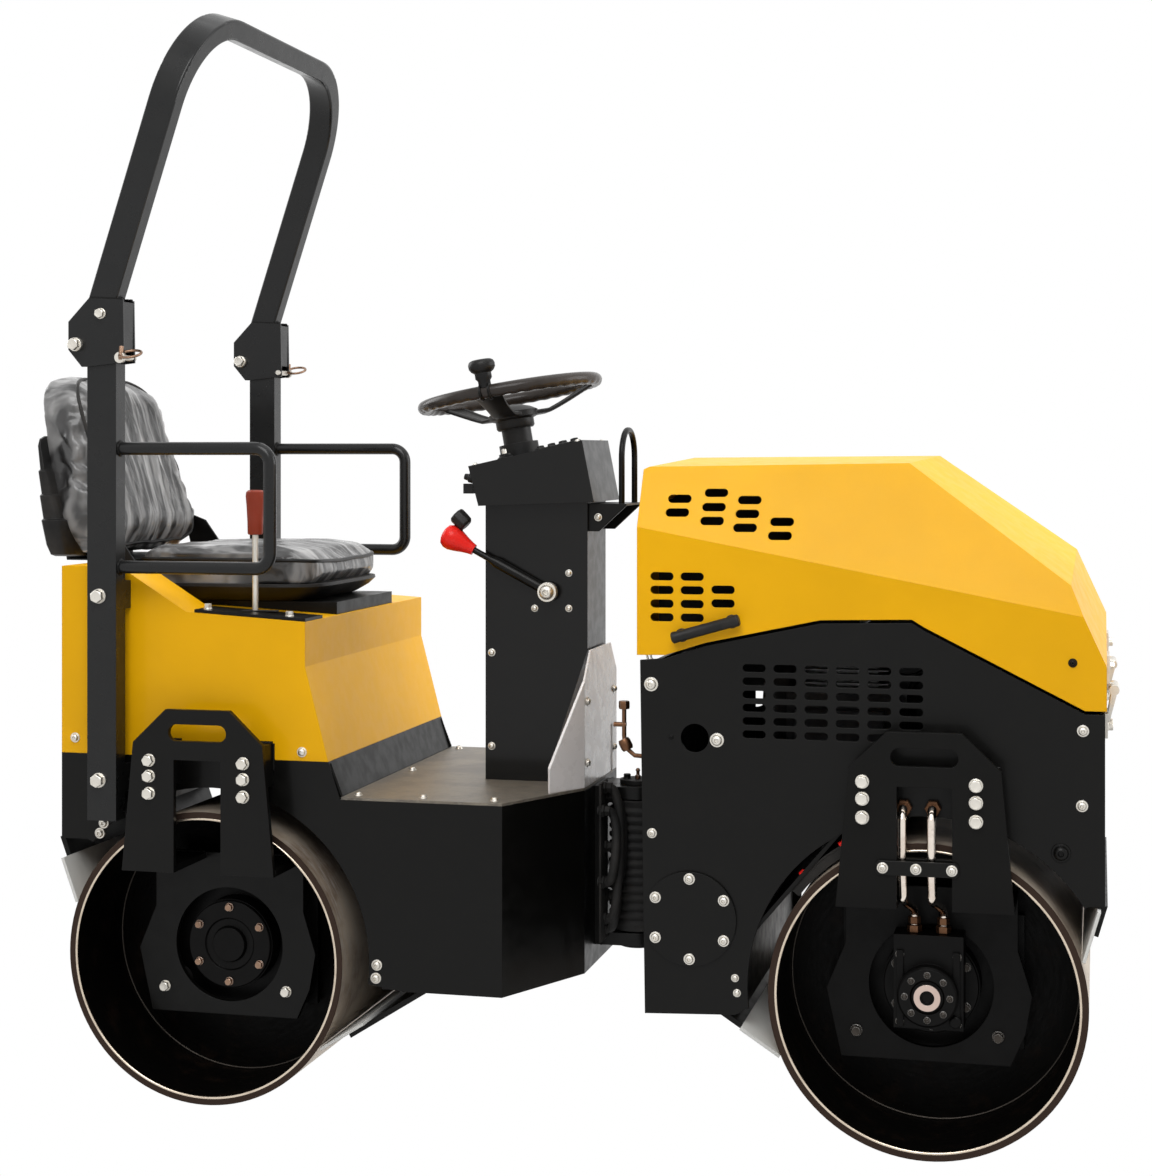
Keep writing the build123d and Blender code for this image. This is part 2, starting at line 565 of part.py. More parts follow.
def hoop():
    """The roll-over hoop: upright feet above the posts and a leaning bent box tube."""
    lean = math.radians(HOOP_LEAN)
    leg = POST_INNER + POST_WIDTH / 2
    width = POST_WIDTH + 2 * HOOP_SIDE_GAP
    middle_top = HOOP_TOP - width / 2 * math.cos(lean) - HOOP_DEPTH / 2 * math.sin(lean)
    rise = (middle_top - HOOP_KNEE) / math.cos(lean)
    below = HOOP_DEPTH
    plane = hoop_plane()
    corners = [plane.from_local_coords((a, b, 0))
               for a, b in ((-leg, -below), (-leg, rise), (leg, rise), (leg, -below))]
    path = FilletPolyline(*corners, radius=HOOP_CORNER)
    section = Plane(origin=path @ 0, x_dir=(0, 1, 0), z_dir=path % 0)
    tube = sweep(section * RectangleRounded(width, HOOP_DEPTH, HOOP_ROUND), path=path)
    tube -= block((rear(-600), rear(100)), (-500, 500), (HOOP_KNEE - 200, HOOP_KNEE))
    for _, side in SIDES:
        x = (plane.origin.X - POST_DEPTH / 2, plane.origin.X + POST_DEPTH / 2)
        tube += block(x, span(side, leg - width / 2, leg + width / 2), (HOOP_FOOT, HOOP_KNEE))
    return tube


def hoop_brackets(tube):
    """The fold brackets welded to the hoop's feet: two cheeks and a front wall on each side."""
    cheek = [(-221, 1545), (-150, 1541), (-148, 1421), (-223, 1413), (-236, 1413), (-264, 1446),
             (-264, 1500)]
    cheek = [(rear(x), z) for x, z in cheek]
    inner = POST_INNER - HOOP_SIDE_GAP
    outer = POST_OUTER + HOOP_SIDE_GAP
    made = []
    for _, side in SIDES:
        bracket = plate_y(cheek, span(side, inner - HOOP_BRACKET_SHEET, inner))
        bracket += plate_y(cheek, span(side, outer, outer + HOOP_BRACKET_SHEET))
        bracket += block((rear(-155), rear(-150)), span(side, inner, outer), (1445, 1537))
        bracket += block((rear(-168), rear(-155)), span(side, inner, outer), (1500, 1537))
        for x, z, radius in ((*HOOP_PIVOT, HOOP_PIVOT_RADIUS), (*LOCK_PIN, LOCK_PIN_RADIUS)):
            bracket -= rod_y(rear(x), z, radius + RUNNING_GAP,
                             span(side, inner - HOOP_BRACKET_SHEET, outer + HOOP_BRACKET_SHEET))
        made.append(bracket - tube)
    return made


def hoop_pins():
    """The pivot bolts and the lock pins of the folding hoop."""
    inner = POST_INNER - HOOP_SIDE_GAP - HOOP_BRACKET_SHEET
    outer = POST_OUTER + HOOP_SIDE_GAP + HOOP_BRACKET_SHEET
    made = []
    for _, side in SIDES:
        for (x, z), radius in ((HOOP_PIVOT, HOOP_PIVOT_RADIUS), (LOCK_PIN, LOCK_PIN_RADIUS)):
            pin = rod_y(rear(x), z, radius, span(side, inner - 6, outer))
            made.append(pin + rod_y(rear(x), z, radius + 5, span(side, outer, outer + 7)))
    return made


# ---------------------------------------------------------------- operator's controls
def console_column():
    """The hollow control column between the floor and the dashboard."""
    (x0, z0), (x1, z1) = DASH_LOW_REAR, DASH_LOW_FRONT

    def top(x):
        return z0 + (z1 - z0) * (x - x0) / (x1 - x0)

    def profile(wall):
        return [(COLUMN_REAR_X + wall, PLATFORM_Z), (601 - wall, PLATFORM_Z), (601 - wall, 620),
                (COLUMN_FRONT_X - wall, 856), (COLUMN_FRONT_X - wall, top(COLUMN_FRONT_X - wall)),
                (COLUMN_REAR_X + wall, top(COLUMN_REAR_X + wall))]

    body = plate_y([(rear(x), z) for x, z in profile(0)], (-COLUMN_HALF, COLUMN_HALF))
    return body - plate_y([(rear(x), z) for x, z in profile(PANEL)],
                          (-COLUMN_HALF + PANEL, COLUMN_HALF - PANEL))


def dash_box():
    """The dashboard: a tilted box, open where it sits on the column."""
    outline = [DASH_LOW_REAR, DASH_HIGH_REAR, DASH_HIGH_FRONT, DASH_LOW_FRONT]
    inside = [(DASH_LOW_REAR[0] + PANEL, DASH_LOW_REAR[1]),
              (DASH_HIGH_REAR[0] + PANEL, DASH_HIGH_REAR[1] - PANEL),
              (DASH_HIGH_FRONT[0] - PANEL, DASH_HIGH_FRONT[1] - PANEL),
              (DASH_LOW_FRONT[0] - PANEL, DASH_LOW_FRONT[1])]
    box = plate_y([(rear(x), z) for x, z in outline], (-DASH_HALF, DASH_HALF))
    return box - plate_y([(rear(x), z) for x, z in inside], (-DASH_HALF + PANEL, DASH_HALF - PANEL))


def shield():
    """The folded cover plate in front of the column, standing on the nose's front edges."""
    sheet = PANEL
    wing_x, wing_y = 641.0, 228.0
    plan = [(wing_x, wing_y), (NOSE_X, NOSE_HALF), (NOSE_X - sheet, NOSE_HALF - sheet / 2),
            (wing_x - sheet, wing_y - sheet / 2)]
    top = 858.0
    made = block((rear(NOSE_X) - sheet, rear(NOSE_X)), (-NOSE_HALF, NOSE_HALF), (PLATFORM_Z, top))
    for side in (-1, 1):
        made += plate_z([(rear(x), side * y) for x, y in plan], (PLATFORM_Z, top))
    outline = [(-wing_y, PLATFORM_Z), (-wing_y, 640), (-NOSE_HALF, 800), (-88, top), (88, top),
               (NOSE_HALF, 800), (wing_y, 640), (wing_y, PLATFORM_Z)]
    trim = plate_x(outline, (rear(wing_x - 20), rear(NOSE_X + 20)))
    slot = block((rear(NOSE_X) - 2 * sheet, rear(NOSE_X)), (86, 104), (PLATFORM_Z, 690))
    return (made & trim) - slot


def wheel_plane(rise=0.0):
    """The steering wheel's plane, or one parallel to it that many millimetres up its axis."""
    tilt = math.radians(WHEEL_TILT)
    axis = Vector(-math.sin(tilt), 0, math.cos(tilt))
    centre = Vector(rear(WHEEL_CENTRE[0]), 0, WHEEL_CENTRE[1])
    return Plane(origin=centre + axis * rise, x_dir=(math.cos(tilt), 0, math.sin(tilt)), z_dir=axis)


def steering_column():
    """The steering column's cover and shaft, from the dashboard's top up to the wheel's hub."""
    hub_low = -WHEEL_DISH - HUB_THICKNESS / 2
    cover_low = -136.0
    cover = wheel_plane(cover_low) * extrude(Circle(30), hub_low - 5 - cover_low)
    cover += wheel_plane(cover_low) * extrude(Circle(40), 34)
    shaft = wheel_plane(hub_low - 6) * extrude(Circle(SHAFT_RADIUS), HUB_THICKNESS)
    (x0, z0), (x1, z1) = DASH_HIGH_REAR, DASH_HIGH_FRONT
    under = plate_y([(rear(x0), z0), (rear(x1), z1), (rear(x1), z1 - 200), (rear(x0), z0 - 200)],
                    (-100, 100))
    return cover + shaft - under


def steering_wheel():
    """The steering wheel with its three dished spokes, hub and spinner knob."""
    ring = WHEEL_RADIUS - WHEEL_RIM
    base = wheel_plane()
    wheel = base * Torus(ring, WHEEL_RIM)
    hub_low = -WHEEL_DISH - HUB_THICKNESS / 2
    wheel += wheel_plane(hub_low) * extrude(Circle(34), HUB_THICKNESS)
    slope = math.degrees(math.atan2(WHEEL_DISH, ring - 20))
    length = math.hypot(WHEEL_DISH, ring - 20)
    for angle in SPOKE_ANGLES:
        middle = Pos((ring + 20) / 2, 0, -WHEEL_DISH / 2) * Rot(0, -slope, 0)
        wheel += base * Rot(0, 0, angle) * middle * Box(length, SPOKE_WIDTH, SPOKE_SHEET)
    wheel -= wheel_plane(hub_low) * extrude(Circle(SHAFT_RADIUS + RUNNING_GAP), HUB_THICKNESS - 4)
    knob_place = base * Rot(0, 0, SPINNER_ANGLE) * Pos(ring, 0, 0)
    wheel += knob_place * Pos(0, 0, 22) * Cylinder(8, 30)
    return wheel + knob_place * Pos(0, 0, 52) * Sphere(SPINNER_RADIUS)


def loop_handle():
    """The hoop-shaped guide in front of the dashboard, on its folded bracket."""
    x, half, low, high = 745.0, 60.0, 1147.0, 1293.0
    shelf = block((rear(COLUMN_FRONT_X), rear(757)), (-72, 72), (low - PANEL, low))
    gusset = [(COLUMN_FRONT_X, low - PANEL), (757, low - PANEL), (702, 1092), (COLUMN_FRONT_X, 1092)]
    for y in ((-72, -72 + PANEL), (72 - PANEL, 72)):
        shelf += plate_y([(rear(a), z) for a, z in gusset], y)
    points = [(rear(x), -half, low), (rear(x), -half, high), (rear(x), half, high), (rear(x), half, low)]
    return shelf + bent_bar(points, half - 4, 6)


def travel_lever():
    """The travel lever on the column's right side: boss, arm and knob."""
    face = -COLUMN_HALF
    boss = rod_y(rear(LEVER_PIVOT[0]), LEVER_PIVOT[1], 17, (face - 22, face))
    start = (rear(LEVER_PIVOT[0]), face - 12, LEVER_PIVOT[1])
    end = (rear(LEVER_KNOB[0]), face - 22, LEVER_KNOB[1])
    return boss + knobbed_bar(start, end, 6.5, 21)


def throttle_lever():
    """The short engine-speed lever under the dashboard's rear edge."""
    foot = (rear(486), -COLUMN_HALF - 14, 1120)
    tip = (rear(424), -COLUMN_HALF - 26, 1110)
    boss = rod_y(foot[0], foot[2], 12, (-COLUMN_HALF - 24, -COLUMN_HALF))
    return boss + knobbed_bar(foot, tip, 5, 15)


# ---------------------------------------------------------------- articulation and steering
def hitch_clevis():
    """The rear half of the articulation: two flat ears and a back plate on the nose wall."""
    wide = (-CLEVIS_RADIUS, CLEVIS_RADIUS)
    clevis = block((rear(NOSE_X), rear(NOSE_X) + 12), wide, (CLEVIS_LOW, CLEVIS_HIGH))
    for z in ((CLEVIS_LOW, CLEVIS_LOW + CLEVIS_SHEET), (CLEVIS_HIGH - CLEVIS_SHEET, CLEVIS_HIGH)):
        clevis += block((rear(NOSE_X), rear(PIVOT_X)), wide, z)
        clevis += rod_z(rear(PIVOT_X), 0, CLEVIS_RADIUS, z)
    return clevis - rod_z(rear(PIVOT_X), 0, PIN_RADIUS + RUNNING_GAP, (CLEVIS_LOW, CLEVIS_HIGH))


def hitch_pin():
    """The upright articulation pin with its two retaining heads."""
    pin = rod_z(rear(PIVOT_X), 0, PIN_RADIUS, (CLEVIS_LOW, CLEVIS_HIGH))
    for z in ((CLEVIS_LOW - 8, CLEVIS_LOW), (CLEVIS_HIGH, CLEVIS_HIGH + 9)):
        pin += rod_z(rear(PIVOT_X), 0, PIN_RADIUS + 11, z)
    return pin


def hitch_yoke():
    """The turning half of the articulation: bearing tube, oscillation shaft and steering arm."""
    x = rear(PIVOT_X)
    low, high = CLEVIS_LOW + CLEVIS_SHEET + 1, CLEVIS_HIGH - CLEVIS_SHEET - 1
    bulkhead = front(BULKHEAD_X)
    yoke = rod_z(x, 0, YOKE_RADIUS, (low, high))
    yoke += block((x, bulkhead - 18), (-YOKE_RADIUS + 6, YOKE_RADIUS - 6), (SWING_Z - 62, SWING_Z + 62))
    yoke += block((x, bulkhead - 24), (-14, 14), (low, high))
    yoke += rod_x(0, SWING_Z, 62, (bulkhead - 22, bulkhead - HOOD_GAP))
    yoke += rod_x(0, SWING_Z, SWING_RADIUS, (bulkhead - HOOD_GAP, bulkhead + SWING_HOUSING))
    arm_x, arm_y = x + ROD_EYE[0], ROD_EYE[1]
    half = EYE_HEIGHT / 2 + EAR_GAP
    arm = [(x - 24, 20), (x + 46, 20), (arm_x + EYE_RADIUS, arm_y), (arm_x - EYE_RADIUS, arm_y)]
    for low_z in (CYLINDER_Z - half - EAR_SHEET, CYLINDER_Z + half):
        z = (low_z, low_z + EAR_SHEET)
        yoke += plate_z(arm, z)
        yoke += rod_z(arm_x, arm_y, EYE_RADIUS, z)
    return yoke - rod_z(x, 0, PIN_RADIUS + RUNNING_GAP, (low, high))


def cylinder_ends():
    """The steering cylinder's two pin centres, and the unit vector from the first to the second."""
    start = Vector(rear(ANCHOR[0]), ANCHOR[1], CYLINDER_Z)
    end = Vector(rear(PIVOT_X) + ROD_EYE[0], ROD_EYE[1], CYLINDER_Z)
    return start, end, (end - start).normalized()


def steering_barrel():
    """The steering cylinder's barrel with the eye on its rear pin."""
    start, _, run = cylinder_ends()
    lie = Plane(origin=start, z_dir=run)
    middle = Pos(0, 0, (BARREL_START + BARREL_END) / 2)
    barrel = lie * middle * Cylinder(BARREL_RADIUS, BARREL_END - BARREL_START)
    barrel += lie * Pos(0, 0, BARREL_START / 2 + 4) * Cylinder(EYE_HEIGHT / 2 - 1, BARREL_START + 8)
    half = EYE_HEIGHT / 2
    barrel += rod_z(start.X, start.Y, EYE_RADIUS, (CYLINDER_Z - half, CYLINDER_Z + half))
    barrel -= rod_z(start.X, start.Y, ANCHOR_PIN_RADIUS + RUNNING_GAP, (CYLINDER_Z - 40, CYLINDER_Z + 40))
    bore = BARREL_START + 20
    middle = Pos(0, 0, (bore + BARREL_END) / 2)
    return barrel - lie * middle * Cylinder(ROD_RADIUS + GLAND_GAP, BARREL_END - bore)


def steering_rod():
    """The steering cylinder's rod with the eye at its tip."""
    start, end, run = cylinder_ends()
    length = (end - start).length
    inside = 148.0
    lie = Plane(origin=start, z_dir=run)
    rod = lie * Pos(0, 0, (inside + length) / 2) * Cylinder(ROD_RADIUS, length - inside)
    half = EYE_HEIGHT / 2
    return rod + rod_z(end.X, end.Y, EYE_RADIUS - 2, (CYLINDER_Z - half, CYLINDER_Z + half))


# ---------------------------------------------------------------- front frame
def front_chassis():
    """The front weldment: arched side plates with grilles, bulkhead, deck and front wall."""
    top = [(x, z - HOOD_GAP) for x, z in HOOD_EDGE]
    outline = [(-521, 868)] + top[1:] + [(NOSE_WALL_X, FRONT_SKIRT_LOW), (281, FRONT_SKIRT_LOW),
                                         (-323, 240), (-DRUM_WALL, FRONT_KEEL_Z), (BULKHEAD_X, 221)]
    outline = [(front(x), z) for x, z in outline]
    inner = (-BODY_HALF + SHEET, BODY_HALF - SHEET)
    bulkhead = front(BULKHEAD_X)
    chassis = block((bulkhead, bulkhead + SHEET), inner, (FRONT_KEEL_Z, 860))
    chassis += block((bulkhead, front(-DRUM_WALL)), inner, (FRONT_KEEL_Z, FRONT_KEEL_Z + SHEET))
    chassis += block((front(-DRUM_WALL), front(-DRUM_WALL) + SHEET), inner,
                     (FRONT_KEEL_Z, FRONT_DECK_Z - SHEET))
    chassis += block((bulkhead + SHEET, front(NOSE_WALL_X)), inner, (FRONT_DECK_Z - SHEET, FRONT_DECK_Z))
    liner = [(-DRUM_WALL + SHEET, 345), (-112, FRONT_DECK_Z - SHEET), (-122, FRONT_DECK_Z - SHEET),
             (-DRUM_WALL + SHEET, 357)]
    chassis += plate_y([(front(x), z) for x, z in liner], inner)
    chassis += block((front(NOSE_WALL_X) - SHEET, front(NOSE_WALL_X)), inner, (FRONT_SKIRT_LOW, 785))
    for _, side in SIDES:
        y = span(side, BODY_HALF - SHEET, BODY_HALF)
        plate = plate_y(outline, y) - rod_y(FRONT_AXLE_X, DRUM_RADIUS, ARCH_RADIUS, y)
        plate -= rod_y(front(TIE_HOLE[0]), TIE_HOLE[1], TIE_HOLE_RADIUS, y)
        slots = [slot_y(front(GRILLE_X0 + i * GRILLE_PITCH_X), GRILLE_Z0 - j * GRILLE_PITCH_Z,
                        *GRILLE_SLOT, y)
                 for i in range(GRILLE_COUNT) for j in range(GRILLE_COUNT)]
        chassis += plate - slots
    chassis += rod_x(0, SWING_Z, 72, (bulkhead, bulkhead + SWING_HOUSING))
    return chassis - rod_x(0, SWING_Z, SWING_RADIUS + RUNNING_GAP, (bulkhead, bulkhead + SWING_HOUSING))


def cover_discs():
    """The round inspection covers on the front frame's side plates."""
    return [rod_y(front(-428), 399, 86, span(side, BODY_HALF, BODY_HALF + 6)) for _, side in SIDES]


def engine_block():
    """The engine under the hood, as one plain mass on the deck."""
    return block((front(-400), front(30)), (-190, 190), (FRONT_DECK_Z, 985))


def drive_motor():
    """The hydraulic drum motor on the right front hub."""
    motor = block((front(-62), front(62)), (-330, -HUB_FACE), (DRUM_RADIUS - 64, DRUM_RADIUS + 80))
    motor += block((front(-62), front(62)), (-330, -CARRIER_HALF - 4),
                   (DRUM_RADIUS + 60, DRUM_RADIUS + PORT_RISE))
    return motor + rod_y(front(0), DRUM_RADIUS, 53, (-352, -330))


def drive_pipes():
    """The two bent steel pipes down to the drum motor."""
    made = []
    for high_x, low_x in PIPES:
        points = [(front(high_x), -BODY_HALF, PIPE_TOP), (front(high_x), PIPE_Y, PIPE_TOP),
                  (front(high_x), PIPE_Y, 480), (front(low_x), PORT_Y, 430),
                  (front(low_x), PORT_Y, DRUM_RADIUS + PORT_RISE)]
        made.append(bent_bar(points, 20, PIPE_RADIUS))
    return made


def pipe_clamp():
    """The cross bar that clamps the drive pipes between the fork's legs."""
    (x0, x1), z = CLAMP
    inner = -BRACKET_HALF + BRACKET_SHEET
    clamp = block((front(x0), front(x1)), (inner, inner + 16), z)
    for high_x, _ in PIPES:
        x = front(high_x)
        clamp -= rod_z(x, PIPE_Y, PIPE_RADIUS, z)
        clamp -= block((x - PIPE_RADIUS, x + PIPE_RADIUS), (inner, PIPE_Y), z)
    return clamp


def hood_form(inset):
    """The hood's outer form with every face moved inwards by inset."""
    half = BODY_HALF - inset
    form = block((front(HOOD_REAR_X) + inset, front(HOOD_FRONT_X) - inset), (-half, half), (770, 1300))
    faces = [HOOD_REAR_BEVEL]
    for (x, y, z), (a, b, c) in HOOD_FACES:
        faces += [((x, y, z), (a, b, c)), ((x, -y, z), (a, -b, c))]
    for (x, y, z), normal in faces:
        outward = Vector(*normal).normalized()
        point = Vector(front(x), y, z) - outward * inset
        form = split(form, bisect_by=Plane(origin=point, z_dir=outward), keep=Keep.BOTTOM)
    return form


def hood():
    """The engine hood: a folded sheet shell, open below, with slots for air in both sides."""
    edge = [(front(x), z) for x, z in HOOD_EDGE]
    edge[0] = (front(HOOD_REAR_X) - 5, HOOD_EDGE[0][1])
    edge[-1] = (front(HOOD_FRONT_X) + 5, HOOD_EDGE[-1][1])
    below = plate_y(edge + [(edge[-1][0], 700), (edge[0][0], 700)], (-BODY_HALF - 1, BODY_HALF + 1))
    shell = hood_form(0) - hood_form(HOOD_SHEET) - below
    slots = [slot_y(front(x), z, *VENT_SLOT, (-BODY_HALF - 1, BODY_HALF + 1))
             for x, z in LOWER_VENTS + UPPER_VENTS]
    return shell - slots


def hood_handle():
    """The lift bar on the hood's right side, on two standoffs."""
    face = -BODY_HALF
    ends = [(front(-457), face - 17, 911), (front(-336), face - 17, 946)]
    handle = bar(ends[0], ends[1], 10)
    for share in (0.12, 0.88):
        x = ends[0][0] + share * (ends[1][0] - ends[0][0])
        z = ends[0][2] + share * (ends[1][2] - ends[0][2])
        handle += rod_y(x, z, 6, (face - 17, face))
    return handle


def hinge_leaves():
    """The fixed halves of the hood's two hinges: a leaf on the front wall, a pin and two knuckles."""
    x, z = front(HOOD_HINGE[0]), HOOD_HINGE[1]
    wall = front(NOSE_WALL_X)
    made = []
    for y in HINGE_PLACES:
        leaf = block((wall, wall + 5), (y - 45, y + 45), (740, 784))
        pin = rod_y(x, z, 5, (y - 45, y + 45))
        for low, high in ((y - 45, y - KNUCKLE_HALF - 1), (y + KNUCKLE_HALF + 1, y + 45)):
            leaf += rod_y(x, z, HINGE_RADIUS, (low, high))
            arm = [(wall + 5, 784), (wall, 784), (wall, 770), (wall + 8, 770), (x + 5, z - 5),
                   (x - 5, z - 3)]
            leaf += plate_y(arm, (low, high))
        made.append(leaf + pin)
    return made


def hood_knuckles():
    """The moving halves of the hood's hinges: a knuckle and a leaf on the hood's front face."""
    x, z = front(HOOD_HINGE[0]), HOOD_HINGE[1]
    face = front(HOOD_FRONT_X)
    made = []
    for y in HINGE_PLACES:
        pair = (y - KNUCKLE_HALF, y + KNUCKLE_HALF)
        leaf = rod_y(x, z, HINGE_RADIUS, pair) + block((face, x), pair, (z - 3, z + HINGE_RADIUS))
        leaf += block((face, face + 5), (y - 40, y + 40), (z + HINGE_RADIUS + 2, z + 62))
        leaf += block((face, face + 5), pair, (z, z + 30))
        made.append(leaf - rod_y(x, z, 5 + RUNNING_GAP, pair))
    return made


# ---------------------------------------------------------------- the whole machine
def build():
    """Makes every sub-part under its node name."""
    holders = {}
    for end, axle_x in (("rear", REAR_AXLE_X), ("front", FRONT_AXLE_X)):
        keep(f"{end}_drum", drum(axle_x))
        for name, side in SIDES:
            keep(f"{end}_carrier_{name}", drum_carrier(axle_x, side))
        keep(f"{end}_hubs", [drum_hub(axle_x, side) for _, side in SIDES])
        keep(f"{end}_rubber_mounts", rubber_mounts(axle_x))
        pairs = [scraper(**row) for row in SCRAPERS if row["drum"] == end]
        keep(f"{end}_scraper_blades", [blade for blade, _ in pairs])
        holders[end] = [holder for _, holder in pairs]
    keep("rear_chassis", rear_chassis() + holders["rear"] + hitch_clevis())
    keep("floor_plate", floor_plate())
    keep("seat_box", seat_box())
    keep("seat_base", seat_base())
    keep("seat_cushion", seat_cushion())
    keep("seat_back", seat_back())
    keep("seat_shell", seat_shell())
    keep("lever_plate", lever_plate())
    keep("brake_lever", brake_lever())
    keep("rops_posts", posts())
    for name, side in SIDES:
        keep(f"armrest_{name}", armrest(side))
    tube = hoop()
    keep("rops_hoop", tube + hoop_brackets(tube))
    keep("hoop_pins", hoop_pins())
    keep("console_column", console_column())
    keep("dash_box", dash_box())
    keep("front_shield", shield())
    keep("steering_column", steering_column())
    keep("steering_wheel", steering_wheel())
    keep("loop_handle", loop_handle())
    keep("control_levers", [travel_lever(), throttle_lever()])
    keep("hitch_pin", hitch_pin())
    keep("hitch_yoke", hitch_yoke())
    keep("steering_barrel", steering_barrel())
    keep("steering_rod", steering_rod())
    keep("front_chassis", front_chassis() + holders["front"])
    keep("front_cover_discs", cover_discs())
    keep("engine_block", engine_block())
    keep("drive_motor", drive_motor())
    keep("drive_pipes", drive_pipes())
    keep("pipe_clamp", pipe_clamp())
    keep("hood", hood())
    keep("hood_handle", hood_handle())
    keep("hood_hinge_leaves", hinge_leaves())
    keep("hood_hinge_knuckles", hood_knuckles())


build()
os.makedirs("parts", exist_ok=True)
for node, shapes in PARTS.items():
    solids = [solid for shape in shapes for solid in shape.solids()]
    export_step(Compound(solids), f"parts/{node}.step")
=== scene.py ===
import json
import logging
from dataclasses import dataclass, field
from enum import Enum
from math import copysign, cos, pi, radians, sin, tau
from typing import Callable, Iterable, Sequence

import bmesh
import bpy
from mathutils import Matrix, Vector, noise
from mathutils.bvhtree import BVHTree


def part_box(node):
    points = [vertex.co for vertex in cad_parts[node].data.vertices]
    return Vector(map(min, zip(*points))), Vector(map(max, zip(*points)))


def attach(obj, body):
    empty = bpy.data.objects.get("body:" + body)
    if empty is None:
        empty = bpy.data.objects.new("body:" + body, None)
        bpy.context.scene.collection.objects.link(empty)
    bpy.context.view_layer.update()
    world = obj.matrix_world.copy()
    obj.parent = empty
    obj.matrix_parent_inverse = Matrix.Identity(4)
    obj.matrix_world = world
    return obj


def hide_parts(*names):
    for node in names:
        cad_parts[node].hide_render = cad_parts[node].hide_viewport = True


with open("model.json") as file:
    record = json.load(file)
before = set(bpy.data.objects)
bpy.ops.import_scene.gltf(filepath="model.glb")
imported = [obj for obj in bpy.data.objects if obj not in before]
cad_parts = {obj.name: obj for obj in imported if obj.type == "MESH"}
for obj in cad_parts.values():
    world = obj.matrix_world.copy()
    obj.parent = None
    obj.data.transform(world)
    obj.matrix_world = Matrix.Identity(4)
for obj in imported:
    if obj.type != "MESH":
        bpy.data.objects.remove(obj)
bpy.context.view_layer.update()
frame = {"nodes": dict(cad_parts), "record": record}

LOG = logging.getLogger("road_roller")
logging.basicConfig(level=logging.INFO, format="%(name)s: %(message)s")

REAR_AXLE_X = -0.622
FRONT_AXLE_X = 0.745
DRUM_RADIUS = 0.28
OUTWARD = (0, -1, 0)
UPWARD = (0, 0, 1)
ORANGE_PEEL = 0.00012
PRIMER = (0.1, 0.09, 0.08)
Colour = tuple[float, float, float]
Point = Sequence[float]
Pair = tuple[float, float]
Socket = bpy.types.NodeSocket


class Side(Enum):
    """The machine's two sides, as the sign of Y."""

    RIGHT = -1
    LEFT = 1


SIDES = tuple(side.value for side in Side)


def rear(x: float) -> float:
    """A place counted from the rear axle, in metres, as the machine's own X."""
    return REAR_AXLE_X + x


def front(x: float) -> float:
    """A place counted from the front axle, in metres, as the machine's own X."""
    return FRONT_AXLE_X + x


